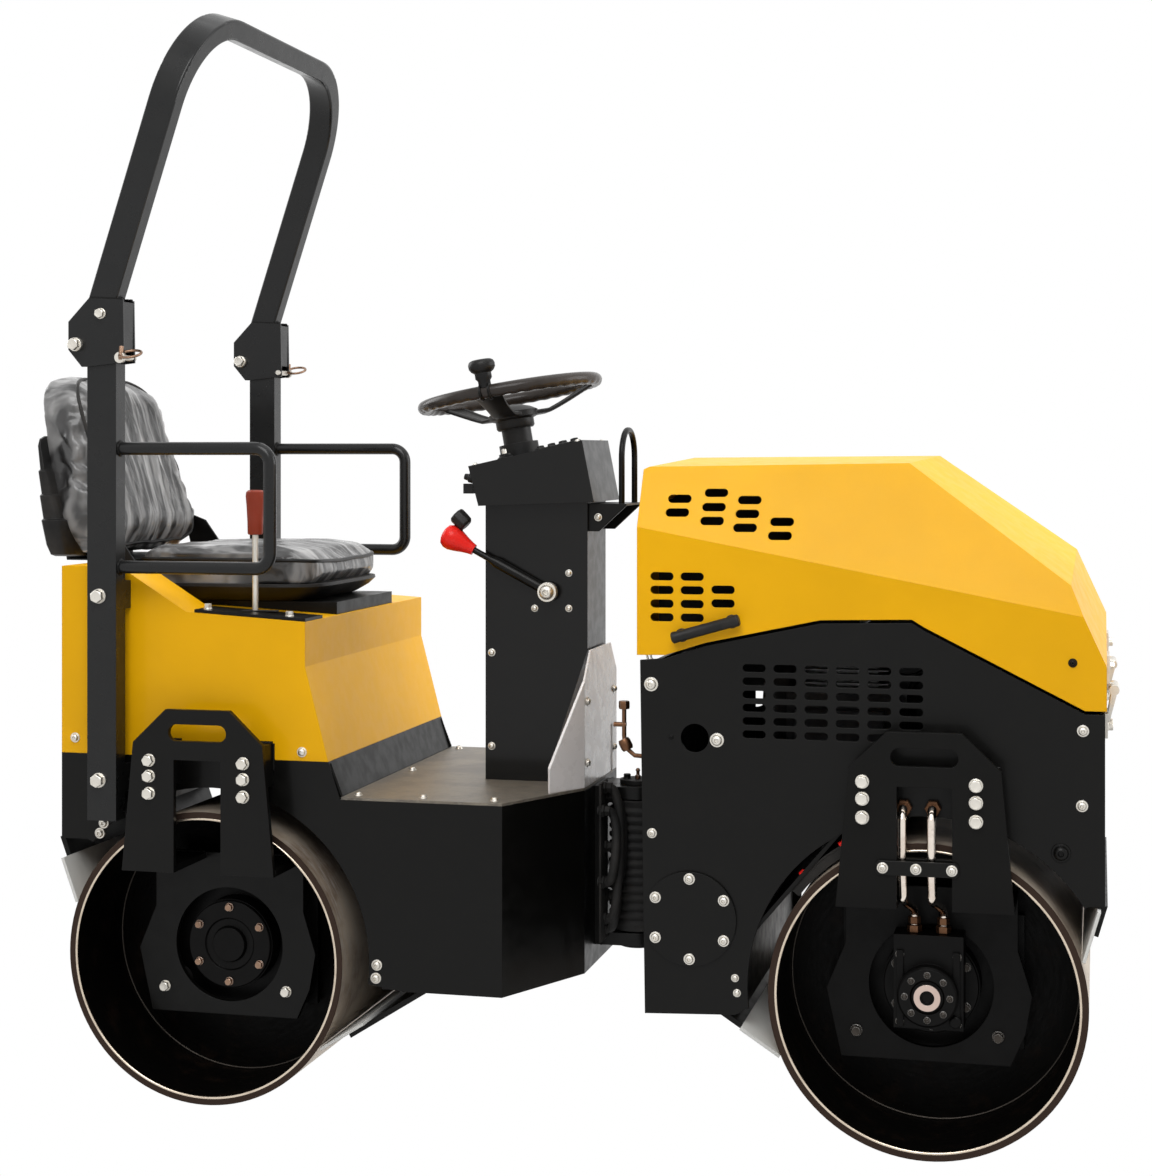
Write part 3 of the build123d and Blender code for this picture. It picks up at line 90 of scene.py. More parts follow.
# --- materials
class NodeGraph:
    """A thin helper that adds shader nodes to one material or world and links them."""

    def __init__(self, name: str, world: bool = False) -> None:
        """Makes an empty node material or world.

        Args:
            name: its name.
            world: makes a world in place of a material.
        """
        self.owner = bpy.data.worlds.new(name) if world else bpy.data.materials.new(name)
        self.owner.use_nodes = True
        self.tree = self.owner.node_tree
        self.tree.nodes.clear()
        self.output = self.add("OutputWorld" if world else "OutputMaterial")
        self.coords = self.add("TexCoord").outputs["Generated" if world else "Object"]

    def add(self, kind: str, **settings: object) -> bpy.types.Node:
        """Adds a node.

        Args:
            kind: the node's type name without its ShaderNode prefix.
            **settings: plain properties of the node.

        Returns:
            The new node.
        """
        node = self.tree.nodes.new(f"ShaderNode{kind}")
        for key, value in settings.items():
            setattr(node, key, value)
        return node

    def feed(self, socket: Socket, value: object) -> None:
        """Links a socket to another, or sets it to a constant.

        Args:
            socket: the input socket.
            value: an output socket, a number or a tuple.
        """
        if isinstance(value, Socket):
            self.tree.links.new(value, socket)
        elif isinstance(value, tuple) and len(value) == 3 and socket.type == "RGBA":
            socket.default_value = (*value, 1.0)
        else:
            socket.default_value = value

    def noise(self, scale: float, detail: float = 3.0, rough: float = 0.55,
              stretch: Point = (1.0, 1.0, 1.0), seed: float = 0.0) -> Socket:
        """A noise field over the object's own coordinates.

        Args:
            scale: how fine the noise is, per metre.
            detail: octaves.
            rough: how strong the finer octaves are.
            stretch: a scale for each axis.
            seed: shifts the field.

        Returns:
            The noise's factor socket.
        """
        mapping = self.add("Mapping")
        self.feed(mapping.inputs["Vector"], self.coords)
        mapping.inputs["Scale"].default_value = stretch
        mapping.inputs["Location"].default_value = (seed, seed * 0.7, seed * 0.3)
        node = self.add("TexNoise")
        self.feed(node.inputs["Vector"], mapping.outputs["Vector"])
        node.inputs["Scale"].default_value = scale
        node.inputs["Detail"].default_value = detail
        node.inputs["Roughness"].default_value = rough
        return node.outputs["Fac"]

    def math(self, operation: str, *values: object, clamp: bool = False) -> Socket:
        """A maths node.

        Args:
            operation: the node's operation.
            *values: its inputs, sockets or numbers.
            clamp: limits the result to 0 to 1.

        Returns:
            The result socket.
        """
        node = self.add("Math", operation=operation, use_clamp=clamp)
        for socket, value in zip(node.inputs, values):
            self.feed(socket, value)
        return node.outputs[0]

    def ramp(self, value: object, low: float, high: float, to_low: float = 0.0,
             to_high: float = 1.0) -> Socket:
        """Maps a value's range to another, smoothly and clamped.

        Args:
            value: the input.
            low: input that gives to_low.
            high: input that gives to_high.
            to_low: output at low.
            to_high: output at high.

        Returns:
            The result socket.
        """
        node = self.add("MapRange", interpolation_type="SMOOTHSTEP")
        for name, number in (("Value", value), ("From Min", low), ("From Max", high),
                             ("To Min", to_low), ("To Max", to_high)):
            self.feed(node.inputs[name], number)
        return node.outputs["Result"]

    def mix(self, share: object, first: object, second: object) -> Socket:
        """Mixes two colours.

        Args:
            share: 0 gives first and 1 gives second.
            first: a colour or socket.
            second: a colour or socket.

        Returns:
            The mixed colour socket.
        """
        node = self.add("Mix", data_type="RGBA")
        self.feed(node.inputs["Factor"], share)
        self.feed(node.inputs[6], first)
        self.feed(node.inputs[7], second)
        return node.outputs[2]

    def edges(self, radius: float) -> tuple[Socket, Socket]:
        """A rounded normal, and a mask that is bright along edges.

        Args:
            radius: how far the rounding reaches, in metres.

        Returns:
            The normal socket and the mask socket.
        """
        bevel = self.add("Bevel", samples=4)
        bevel.inputs["Radius"].default_value = radius
        geometry = self.add("NewGeometry")
        dot = self.add("VectorMath", operation="DOT_PRODUCT")
        self.feed(dot.inputs[0], bevel.outputs["Normal"])
        self.feed(dot.inputs[1], geometry.outputs["Normal"])
        return bevel.outputs["Normal"], self.ramp(dot.outputs["Value"], 0.995, 0.86)

    def bump(self, height: object, distance: float, strength: float = 1.0,
             normal: object = None) -> Socket:
        """A bumped normal.

        Args:
            height: the height field.
            distance: the height of its full range, in metres.
            strength: how much of it is used.
            normal: a normal to start from.

        Returns:
            The normal socket.
        """
        node = self.add("Bump")
        self.feed(node.inputs["Height"], height)
        node.inputs["Distance"].default_value = distance
        node.inputs["Strength"].default_value = strength
        if normal is not None:
            self.feed(node.inputs["Normal"], normal)
        return node.outputs["Normal"]

    def backdrop(self, lit: bpy.types.Node) -> None:
        """Ends the graph with plain white for the view, gloss and glass, and a lit shader for the rest.

        Args:
            lit: the shader that lights the object.
        """
        white = self.add("Background" if lit.type == "BACKGROUND" else "Emission")
        white.inputs["Color"].default_value = (1.0, 1.0, 1.0, 1.0)
        white.inputs["Strength"].default_value = 1.0
        path, mix = self.add("LightPath").outputs, self.add("MixShader")
        glossy = self.math("MAXIMUM", path["Is Glossy Ray"], path["Is Transmission Ray"])
        self.feed(mix.inputs["Fac"], self.math("MAXIMUM", path["Is Camera Ray"], glossy))
        self.feed(mix.inputs[1], lit.outputs[0])
        self.feed(mix.inputs[2], white.outputs[0])
        self.feed(self.output.inputs["Surface"], mix.outputs[0])

    def principled(self, **values: object) -> bpy.types.Node:
        """Ends the graph with a principled shader.

        Args:
            **values: inputs by name, with underscores for spaces.

        Returns:
            The shader node.
        """
        shader = self.add("BsdfPrincipled")
        for key, value in values.items():
            self.feed(shader.inputs[key.replace("_", " ")], value)
        self.tree.links.new(shader.outputs["BSDF"], self.output.inputs["Surface"])
        return shader


@dataclass(frozen=True)
class Finish:
    """A surface finish.

    Attributes:
        name: the material's name.
        slot: the record's material slot that its pieces belong to.
    """

    name: str
    slot: str = field(default="black_paint", kw_only=True)

    def build(self) -> bpy.types.Material:
        """Builds the node material."""
        raise NotImplementedError


@dataclass(frozen=True)
class SheetPaint(Finish):
    """Sprayed paint on sheet metal, with orange peel, dust and chipped edges, and where set a painted shade
    that turns it near black low down.

    Attributes:
        colour: the paint.
        chipped: the colour that shows along worn edges.
        rough: the paint's roughness.
        coat: how much clear coat it has.
        wear: how far along the edges the paint is worn, 0 to 1.
        dust: how much dust lies on it, 0 to 1.
        shine: the strength of its reflection.
        painted_shade_heights: the heights below and above which it is darkened to near black as painted
            shade and left as it is, in metres.
    """

    colour: Colour
    chipped: Colour
    rough: float = 0.4
    coat: float = 0.0
    wear: float = 0.4
    dust: float = 0.15
    shine: float = 0.5
    painted_shade_heights: Pair | None = None

    def build(self) -> bpy.types.Material:
        """Builds the node material.

        Returns:
            The material.
        """
        graph = NodeGraph(self.name)
        normal, edge = graph.edges(0.0022)
        speckle = graph.ramp(graph.noise(90, 5, 0.7), 0.62 - 0.2 * self.wear, 0.72)
        chips = graph.math("MULTIPLY", edge, speckle)
        chips = graph.math("MULTIPLY", chips, self.wear, clamp=True)
        shade = graph.ramp(graph.noise(2.3, 4), 0.3, 0.7, 0.93, 1.05)
        tint = graph.add("Mix", data_type="RGBA", blend_type="MULTIPLY")
        tint.inputs["Factor"].default_value = 1.0
        graph.feed(tint.inputs[6], self.colour)
        graph.feed(tint.inputs[7], shade)
        dust = graph.math("MULTIPLY", graph.ramp(graph.noise(14, 6, 0.65), 0.45, 0.8), self.dust)
        dusty = graph.mix(dust, tint.outputs[2], (0.24, 0.2, 0.16))
        colour = graph.mix(chips, dusty, self.chipped)
        rough = graph.math("ADD", graph.ramp(graph.noise(35, 4), 0.3, 0.7, -0.05, 0.07), self.rough)
        rough = graph.math("ADD", rough, graph.math("MULTIPLY", dust, 0.5), clamp=True)
        normal = graph.bump(graph.noise(420, 2), ORANGE_PEEL, 0.6, normal)
        # Painted shade: below the given heights the paint turns near black, standing in for the shade inside
        # the drums.
        if self.painted_shade_heights:
            split = graph.add("SeparateXYZ")
            graph.feed(split.inputs["Vector"], graph.coords)
            clean = graph.ramp(split.outputs["Z"], *self.painted_shade_heights, 0.12, 1)
            colour = graph.mix(clean, (0.0012, 0.001, 0.0009), colour)
        graph.principled(Base_Color=colour, Roughness=rough, Normal=normal, Coat_Roughness=0.12,
                         Coat_Weight=self.coat, Specular_IOR_Level=self.shine)
        return graph.owner


@dataclass(frozen=True)
class BareMetal(Finish):
    """Bare or plated metal with fine scratches and a little tarnish.

    Attributes:
        colour: the clean metal.
        tarnish: the colour in its stains.
        rough: the metal's roughness.
        stain: how much of it is stained, 0 to 1.
        slot: the record's material slot.
    """

    colour: Colour
    tarnish: Colour
    rough: float = 0.3
    stain: float = 0.3
    slot: str = field(default="zinc_steel", kw_only=True)

    def build(self) -> bpy.types.Material:
        """Builds the node material.

        Returns:
            The material.
        """
        graph = NodeGraph(self.name)
        normal, edge = graph.edges(0.0008)
        stain = graph.math("MULTIPLY", graph.ramp(graph.noise(26, 6, 0.7), 0.42, 0.72), self.stain)
        scratch = graph.noise(240, 3, 0.6, seed=3.0)
        colour = graph.mix(stain, self.colour, self.tarnish)
        colour = graph.mix(graph.math("MULTIPLY", edge, 0.4), colour, (0.85, 0.84, 0.82))
        rough = graph.math("ADD", graph.ramp(scratch, 0.3, 0.7, -0.07, 0.1), self.rough)
        rough = graph.math("ADD", rough, graph.math("MULTIPLY", stain, 0.35), clamp=True)
        normal = graph.bump(scratch, 0.00008, 0.5, normal)
        graph.principled(Base_Color=colour, Metallic=1.0, Roughness=rough, Normal=normal)
        return graph.owner


@dataclass(frozen=True)
class MouldedPlastic(Finish):
    """Moulded plastic or rubber with a fine leathery grain.

    Attributes:
        colour: the plastic.
        rough: its roughness.
        grain: how fine the grain is, per metre.
        depth: the grain's height, in metres.
        slot: the record's material slot.
    """

    colour: Colour
    rough: float = 0.5
    grain: float = 700.0
    depth: float = 0.00012
    slot: str = field(default="black_plastic", kw_only=True)

    def build(self) -> bpy.types.Material:
        """Builds the node material.

        Returns:
            The material.
        """
        graph = NodeGraph(self.name)
        normal, edge = graph.edges(0.0015)
        cell = graph.add("TexVoronoi")
        graph.feed(cell.inputs["Vector"], graph.coords)
        cell.inputs["Scale"].default_value = self.grain
        smudge = graph.ramp(graph.noise(9, 5, 0.6), 0.35, 0.75)
        colour = graph.mix(graph.math("MULTIPLY", smudge, 0.12), self.colour, (0.2, 0.18, 0.16))
        colour = graph.mix(graph.math("MULTIPLY", edge, 0.15), colour, (0.3, 0.29, 0.28))
        rough = graph.math("ADD", graph.math("MULTIPLY", smudge, 0.12), self.rough - 0.04)
        normal = graph.bump(cell.outputs["Distance"], self.depth, 0.7, normal)
        graph.principled(Base_Color=colour, Roughness=rough, Normal=normal, Specular_IOR_Level=0.2)
        return graph.owner


@dataclass(frozen=True)
class DrumSteel(Finish):
    """A drum's steel: rolled and scratched outside, dark brown at the rims and painted black inside.

    Attributes:
        axle_x: where the drum's axle is along the machine, in metres.
        half_width: half of the drum's width, in metres.
    """

    axle_x: float
    half_width: float = 0.392

    def build(self) -> bpy.types.Material:
        """Builds the node material.

        Returns:
            The material.
        """
        graph = NodeGraph(self.name)
        split = graph.add("SeparateXYZ")
        graph.feed(split.inputs["Vector"], graph.coords)
        x = graph.math("SUBTRACT", split.outputs["X"], self.axle_x)
        z = graph.math("SUBTRACT", split.outputs["Z"], DRUM_RADIUS)
        radius = graph.math("SQRT", graph.math("ADD", graph.math("MULTIPLY", x, x),
                                               graph.math("MULTIPLY", z, z)))
        outside = graph.ramp(radius, DRUM_RADIUS - 0.0035, DRUM_RADIUS - 0.0015)
        along = graph.math("ABSOLUTE", split.outputs["Y"])
        rim = graph.ramp(along, self.half_width - 0.0012, self.half_width - 0.0004)
        rim = graph.math("MULTIPLY", rim, graph.ramp(radius, 0.2655, 0.2672))
        steel = graph.math("MAXIMUM", outside, rim)
        angle = graph.math("ARCTAN2", z, x)
        around = graph.add("CombineXYZ")
        graph.feed(around.inputs["X"], graph.math("MULTIPLY", angle, 0.4))
        graph.feed(around.inputs["Y"], graph.math("MULTIPLY", split.outputs["Y"], 9.0))
        graph.feed(around.inputs["Z"], graph.math("MULTIPLY", radius, 9.0))
        rings = graph.add("TexNoise")
        graph.feed(rings.inputs["Vector"], around.outputs["Vector"])
        rings.inputs["Scale"].default_value = 22
        rings.inputs["Detail"].default_value = 6
        rings.inputs["Roughness"].default_value = 0.65
        blotch = graph.ramp(graph.noise(7, 6, 0.62), 0.38, 0.68)
        bare = graph.mix(blotch, (0.52, 0.43, 0.33), (0.22, 0.15, 0.1))
        bare = graph.mix(graph.ramp(rings.outputs["Fac"], 0.4, 0.75), bare, (0.5, 0.45, 0.4))
        bare = graph.mix(rim, bare, (0.04, 0.026, 0.02))
        wet = graph.ramp(graph.noise(18, 6, 0.7, seed=4.0), 0.5, 0.72)
        inner = graph.mix(graph.math("MULTIPLY", wet, 0.35), (0.0016, 0.0014, 0.0012), (0.02, 0.011, 0.007))
        colour = graph.mix(steel, inner, bare)
        rough = graph.mix(steel, (0.34, 0.34, 0.34), (0.4, 0.4, 0.4))
        rough = graph.math("ADD", rough, graph.ramp(rings.outputs["Fac"], 0.3, 0.7, -0.08, 0.12))
        height = graph.math("ADD", rings.outputs["Fac"], graph.noise(160, 4))
        normal = graph.bump(height, 0.00025, 0.6, graph.edges(0.0015)[0])
        graph.principled(Base_Color=colour, Metallic=graph.math("MULTIPLY", steel, 0.55), Roughness=rough,
                         Normal=normal, Specular_IOR_Level=0.06)
        return graph.owner


@dataclass(frozen=True)
class WornFloor(Finish):
    """The operator's steel floor, its paint walked off in patches.

    Attributes:
        name: the material's name.
    """

    name: str = "WornFloor"

    def build(self) -> bpy.types.Material:
        """Builds the node material.

        Returns:
            The material.
        """
        graph = NodeGraph(self.name)
        normal, _ = graph.edges(0.0015)
        walked = graph.ramp(graph.noise(9, 7, 0.7), 0.36, 0.62)
        grit = graph.ramp(graph.noise(150, 5, 0.7), 0.45, 0.7)
        colour = graph.mix(walked, (0.075, 0.064, 0.052), (0.19, 0.165, 0.13))
        colour = graph.mix(graph.math("MULTIPLY", grit, 0.5), colour, (0.34, 0.31, 0.26))
        rough = graph.ramp(grit, 0, 1, 0.42, 0.62)
        normal = graph.bump(graph.noise(190, 4, 0.7), 0.0007, 0.8, normal)
        graph.principled(Base_Color=colour, Metallic=graph.math("MULTIPLY", walked, 0.6), Roughness=rough,
                         Normal=normal)
        return graph.owner


@dataclass(frozen=True)
class FilmedVinyl(Finish):
    """Black grained vinyl under a wrinkled clear film, its colour greyed in streaks, partly the film's own
    milkiness and partly painted sheen, and greyed more along the folds' ridges as a painted highlight.

    Attributes:
        colour: the vinyl.
        film: how much of it the film covers, 0 to 1.
        name: the material's name.
        slot: the record's material slot.
    """

    name: str = "SeatVinyl"
    colour: Colour = (0.011, 0.0105, 0.0105)
    film: float = 0.55
    slot: str = field(default="seat_vinyl", kw_only=True)

    def build(self) -> bpy.types.Material:
        """Builds the node material.

        Returns:
            The material.
        """
        graph = NodeGraph(self.name)
        cell = graph.add("TexVoronoi")
        graph.feed(cell.inputs["Vector"], graph.coords)
        cell.inputs["Scale"].default_value = 650
        grain = graph.bump(cell.outputs["Distance"], 0.0002, 0.6)
        large, small = (graph.math("ABSOLUTE", graph.math("SUBTRACT", graph.noise(*row), 0.5))
                        for row in ((9, 2, 0.5, (0.5, 1.7, 0.32)), (30, 2, 0.5, (0.5, 1.6, 0.35), 5)))
        height = graph.math("ADD", graph.ramp(large, 0.0, 0.16, 1, 0), graph.ramp(small, 0.0, 0.1, 0.16, 0))
        creases = graph.bump(height, 0.0045, 0.8)
        # The grey mixed into the colour: streaks that are partly the film's milkiness and partly painted
        # sheen, and a painted highlight along the fold ridges.
        streaks_of_milk_and_sheen = graph.ramp(graph.noise(15, 3, 0.6, (0.42, 1.9, 0.26), 2), 0.46, 0.64)
        streaked_milk_and_sheen = graph.math("ADD", graph.math("MULTIPLY", streaks_of_milk_and_sheen, 0.34), 0.012)
        milk_and_painted_sheen = graph.math("ADD", streaked_milk_and_sheen, graph.math("MULTIPLY", graph.ramp(height, 0.7, 1.15), 0.24))
        colour = graph.mix(milk_and_painted_sheen, self.colour, (0.62, 0.615, 0.61))
        graph.principled(Base_Color=colour, Roughness=0.46, Normal=grain, Coat_Weight=self.film,
                         Coat_Roughness=0.09, Coat_IOR=1.5, Coat_Normal=creases)
        return graph.owner


YELLOW = SheetPaint("YellowPaint", (0.765, 0.39, 0.0015), (0.5, 0.27, 0.05), rough=0.42, coat=0.1,
                    wear=0.08, dust=0.004, shine=0.1, slot="yellow_paint")
BLACK = SheetPaint("BlackPaint", (0.0028, 0.0027, 0.0024), PRIMER, rough=0.36, coat=0.08,
                   wear=0.25, dust=0.004, shine=0.13)
# A black lighter than the other blacks, lightened as painted sheen on the hoop, posts and armrests, with
# more coat for its gloss.
HOOP_BLACK_PAINTED_SHEEN = SheetPaint("HoopPaint", (0.0075, 0.0078, 0.008), PRIMER, rough=0.3, coat=0.3,
                        wear=0.25, dust=0.01, shine=0.15)
# Its parts turn near black below 0.42 to 0.52 m as painted shade inside the drums.
CARRIER_BLACK = SheetPaint("CarrierPaint", (0.003, 0.0029, 0.0026), PRIMER, rough=0.42, coat=0.0,
                           wear=0.25, dust=0.004, shine=0.12, painted_shade_heights=(0.42, 0.52))
CONSOLE_BLACK = SheetPaint("ConsolePaint", (0.003, 0.0029, 0.0027), PRIMER, rough=0.34,
                           coat=0.35, wear=0.25, dust=0.004, shine=0.08)
CAST_BLACK = SheetPaint("CastPaint", (0.004, 0.0036, 0.0032), (0.08, 0.07, 0.06), rough=0.62, wear=0.2,
                        dust=0.02, shine=0.2)
SHIELD_GREY = SheetPaint("ShieldPaint", (0.74, 0.71, 0.7), (0.2, 0.18, 0.17), rough=0.28, coat=0.5,
                         wear=0.1, dust=0.02)
PIPE_STEEL = BareMetal("PipeSteel", (0.8, 0.72, 0.64), (0.4, 0.24, 0.15), rough=0.12, stain=0.3)
DARK_BRONZE = BareMetal("DarkBronze", (0.15, 0.075, 0.04), (0.06, 0.03, 0.02), rough=0.4, stain=0.6)
RIM_PLASTIC = MouldedPlastic("RimPlastic", (0.03, 0.025, 0.022), 0.22)
# Near-black, very rough plastic for the sheets that stand in as painted shade inside the hood and on the
# rear frame's nose.
SHADE_SHEET_BLACK = MouldedPlastic("ShadeSheetBlack", (0.006, 0.006, 0.006), 0.9, 260.0, 0.0006)
ZINC = BareMetal("ZincSteel", (0.7, 0.67, 0.61), (0.42, 0.37, 0.3), rough=0.4, stain=0.25)
LIP_STEEL = BareMetal("LipSteel", (0.7, 0.6, 0.48), (0.2, 0.13, 0.09), rough=0.26, stain=0.35)
RING_STEEL = BareMetal("RingSteel", (0.6, 0.47, 0.41), (0.4, 0.3, 0.25), rough=0.35, stain=0.2)
ALLOY = BareMetal("CastAlloy", (0.34, 0.34, 0.335), (0.12, 0.11, 0.1), rough=0.52, stain=0.5)
DARK_ZINC = BareMetal("DarkZincSteel", (0.055, 0.048, 0.042), (0.06, 0.05, 0.04), rough=0.45, stain=0.5)
CHROME = BareMetal("ChromeRod", (0.78, 0.78, 0.79), (0.5, 0.48, 0.45), rough=0.1, stain=0.1)
BLACK_PLASTIC = MouldedPlastic("BlackPlastic", (0.0062, 0.0062, 0.0064), 0.42)
MOUNT_RUBBER = MouldedPlastic("MountRubber", (0.012, 0.012, 0.012), 0.7, 300.0, slot="mount_rubber")
BLADE_PLASTIC = MouldedPlastic("BladePlastic", (0.6, 0.6, 0.58), 0.45, 220.0)
ENGINE_IRON = SheetPaint("EngineIron", (0.03, 0.03, 0.032), (0.2, 0.16, 0.12), rough=0.6, wear=0.6, dust=0.5,
                         slot="engine_iron")
BRONZE = BareMetal("Bronze", (0.3, 0.19, 0.13), (0.14, 0.08, 0.05), rough=0.34, stain=0.5)
RED_PLASTIC = MouldedPlastic("RedPlastic", (0.8, 0.01, 0.005), 0.26, 300.0, 0.00004)
GRIP_RUBBER = MouldedPlastic("GripRubber", (0.26, 0.03, 0.01), 0.42)
GLASS_DARK = MouldedPlastic("GaugeGlass", (0.03, 0.032, 0.034), 0.08, 100.0, 0.000001)
PIPING = MouldedPlastic("SeatPiping", (0.01, 0.01, 0.01), 0.35, 900.0, 0.00006, slot="seat_vinyl")
VINYL = FilmedVinyl()
MATERIALS: dict[str, bpy.types.Material] = {}


def finish_of(style: Finish) -> bpy.types.Material:
    """The material of a finish, built once.

    Args:
        style: the finish.

    Returns:
        The material.
    """
    if style.name not in MATERIALS:
        MATERIALS[style.name] = style.build()
    return MATERIALS[style.name]


SLOT_FINISH = {
    "yellow_paint": YELLOW, "black_paint": BLACK, "zinc_steel": ZINC, "floor_steel": WornFloor(),
    "seat_vinyl": BLACK_PLASTIC, "black_plastic": BLACK_PLASTIC, "mount_rubber": MOUNT_RUBBER,
    "blade_plastic": BLADE_PLASTIC, "engine_iron": ENGINE_IRON, "chrome_rod": CHROME,
}
NODE_FINISH = {"rops_hoop": HOOP_BLACK_PAINTED_SHEEN, "rops_posts": HOOP_BLACK_PAINTED_SHEEN, "armrest_left": HOOP_BLACK_PAINTED_SHEEN,
               "armrest_right": HOOP_BLACK_PAINTED_SHEEN, "console_column": CONSOLE_BLACK, "dash_box": CONSOLE_BLACK,
               "drive_pipes": PIPE_STEEL, "front_shield": SHIELD_GREY, "hitch_yoke": CAST_BLACK,
               "hitch_pin": CAST_BLACK, "drive_motor": CARRIER_BLACK, "front_hubs": CARRIER_BLACK,
               "rear_hubs": CARRIER_BLACK, "front_carrier_left": CARRIER_BLACK,
               "front_carrier_right": CARRIER_BLACK}


def dress_frame() -> None:
    """Gives every carried-over CAD node its finish and smooth shading by angle."""
    slots = {row["node"]: row["material_slot"] for row in frame["record"]["subparts"]}
    drums = {"rear_drum": DrumSteel("RearDrumSteel", REAR_AXLE_X),
             "front_drum": DrumSteel("FrontDrumSteel", FRONT_AXLE_X)}
    for name, node in frame["nodes"].items():
        style = drums.get(name) or NODE_FINISH.get(name) or SLOT_FINISH[slots[name]]
        node.data.materials.clear()
        node.data.materials.append(finish_of(style))
        smooth(node, 30)
        LOG.info("dressed %s as %s", name, style.name)


def smooth(piece: bpy.types.Object, degrees: float) -> None:
    """Shades a mesh smooth except across edges sharper than an angle.

    Args:
        piece: the mesh object.
        degrees: the angle.
    """
    mesh = piece.data
    mesh.shade_smooth()
    mesh.set_sharp_from_angle(angle=radians(degrees))


# --- mesh building
def show(thing: bpy.types.Object) -> None:
    """Adds an object to the scene."""
    bpy.context.scene.collection.objects.link(thing)


def baked(thing: bpy.types.Object) -> bpy.types.Mesh:
    """The plain mesh that an object's modifiers give.

    Args:
        thing: the object.

    Returns:
        The new mesh.
    """
    bpy.context.view_layer.update()
    graph = bpy.context.evaluated_depsgraph_get()
    return bpy.data.meshes.new_from_object(thing.evaluated_get(graph))


def turns(count: int) -> list[float]:
    """Evenly spaced angles round a full turn, in radians."""
    return [tau * i / count for i in range(count)]


def arc(centre: Pair, y: float, radius: float, start: float, stop: float,
        steps: int) -> list[Point]:
    """Points along an arc in an upright plane along the machine.

    Args:
        centre: (x, z) of the arc.
        y: the plane's place.
        radius: the arc's radius.
        start: its first angle, in degrees.
        stop: its last angle.
        steps: how many steps it takes; a full turn leaves out the last point.

    Returns:
        The points.
    """
    count = steps if stop - start == 360 else steps + 1
    angles = [radians(start + (stop - start) * i / steps) for i in range(count)]
    return [(centre[0] + radius * cos(a), y, centre[1] + radius * sin(a)) for a in angles]


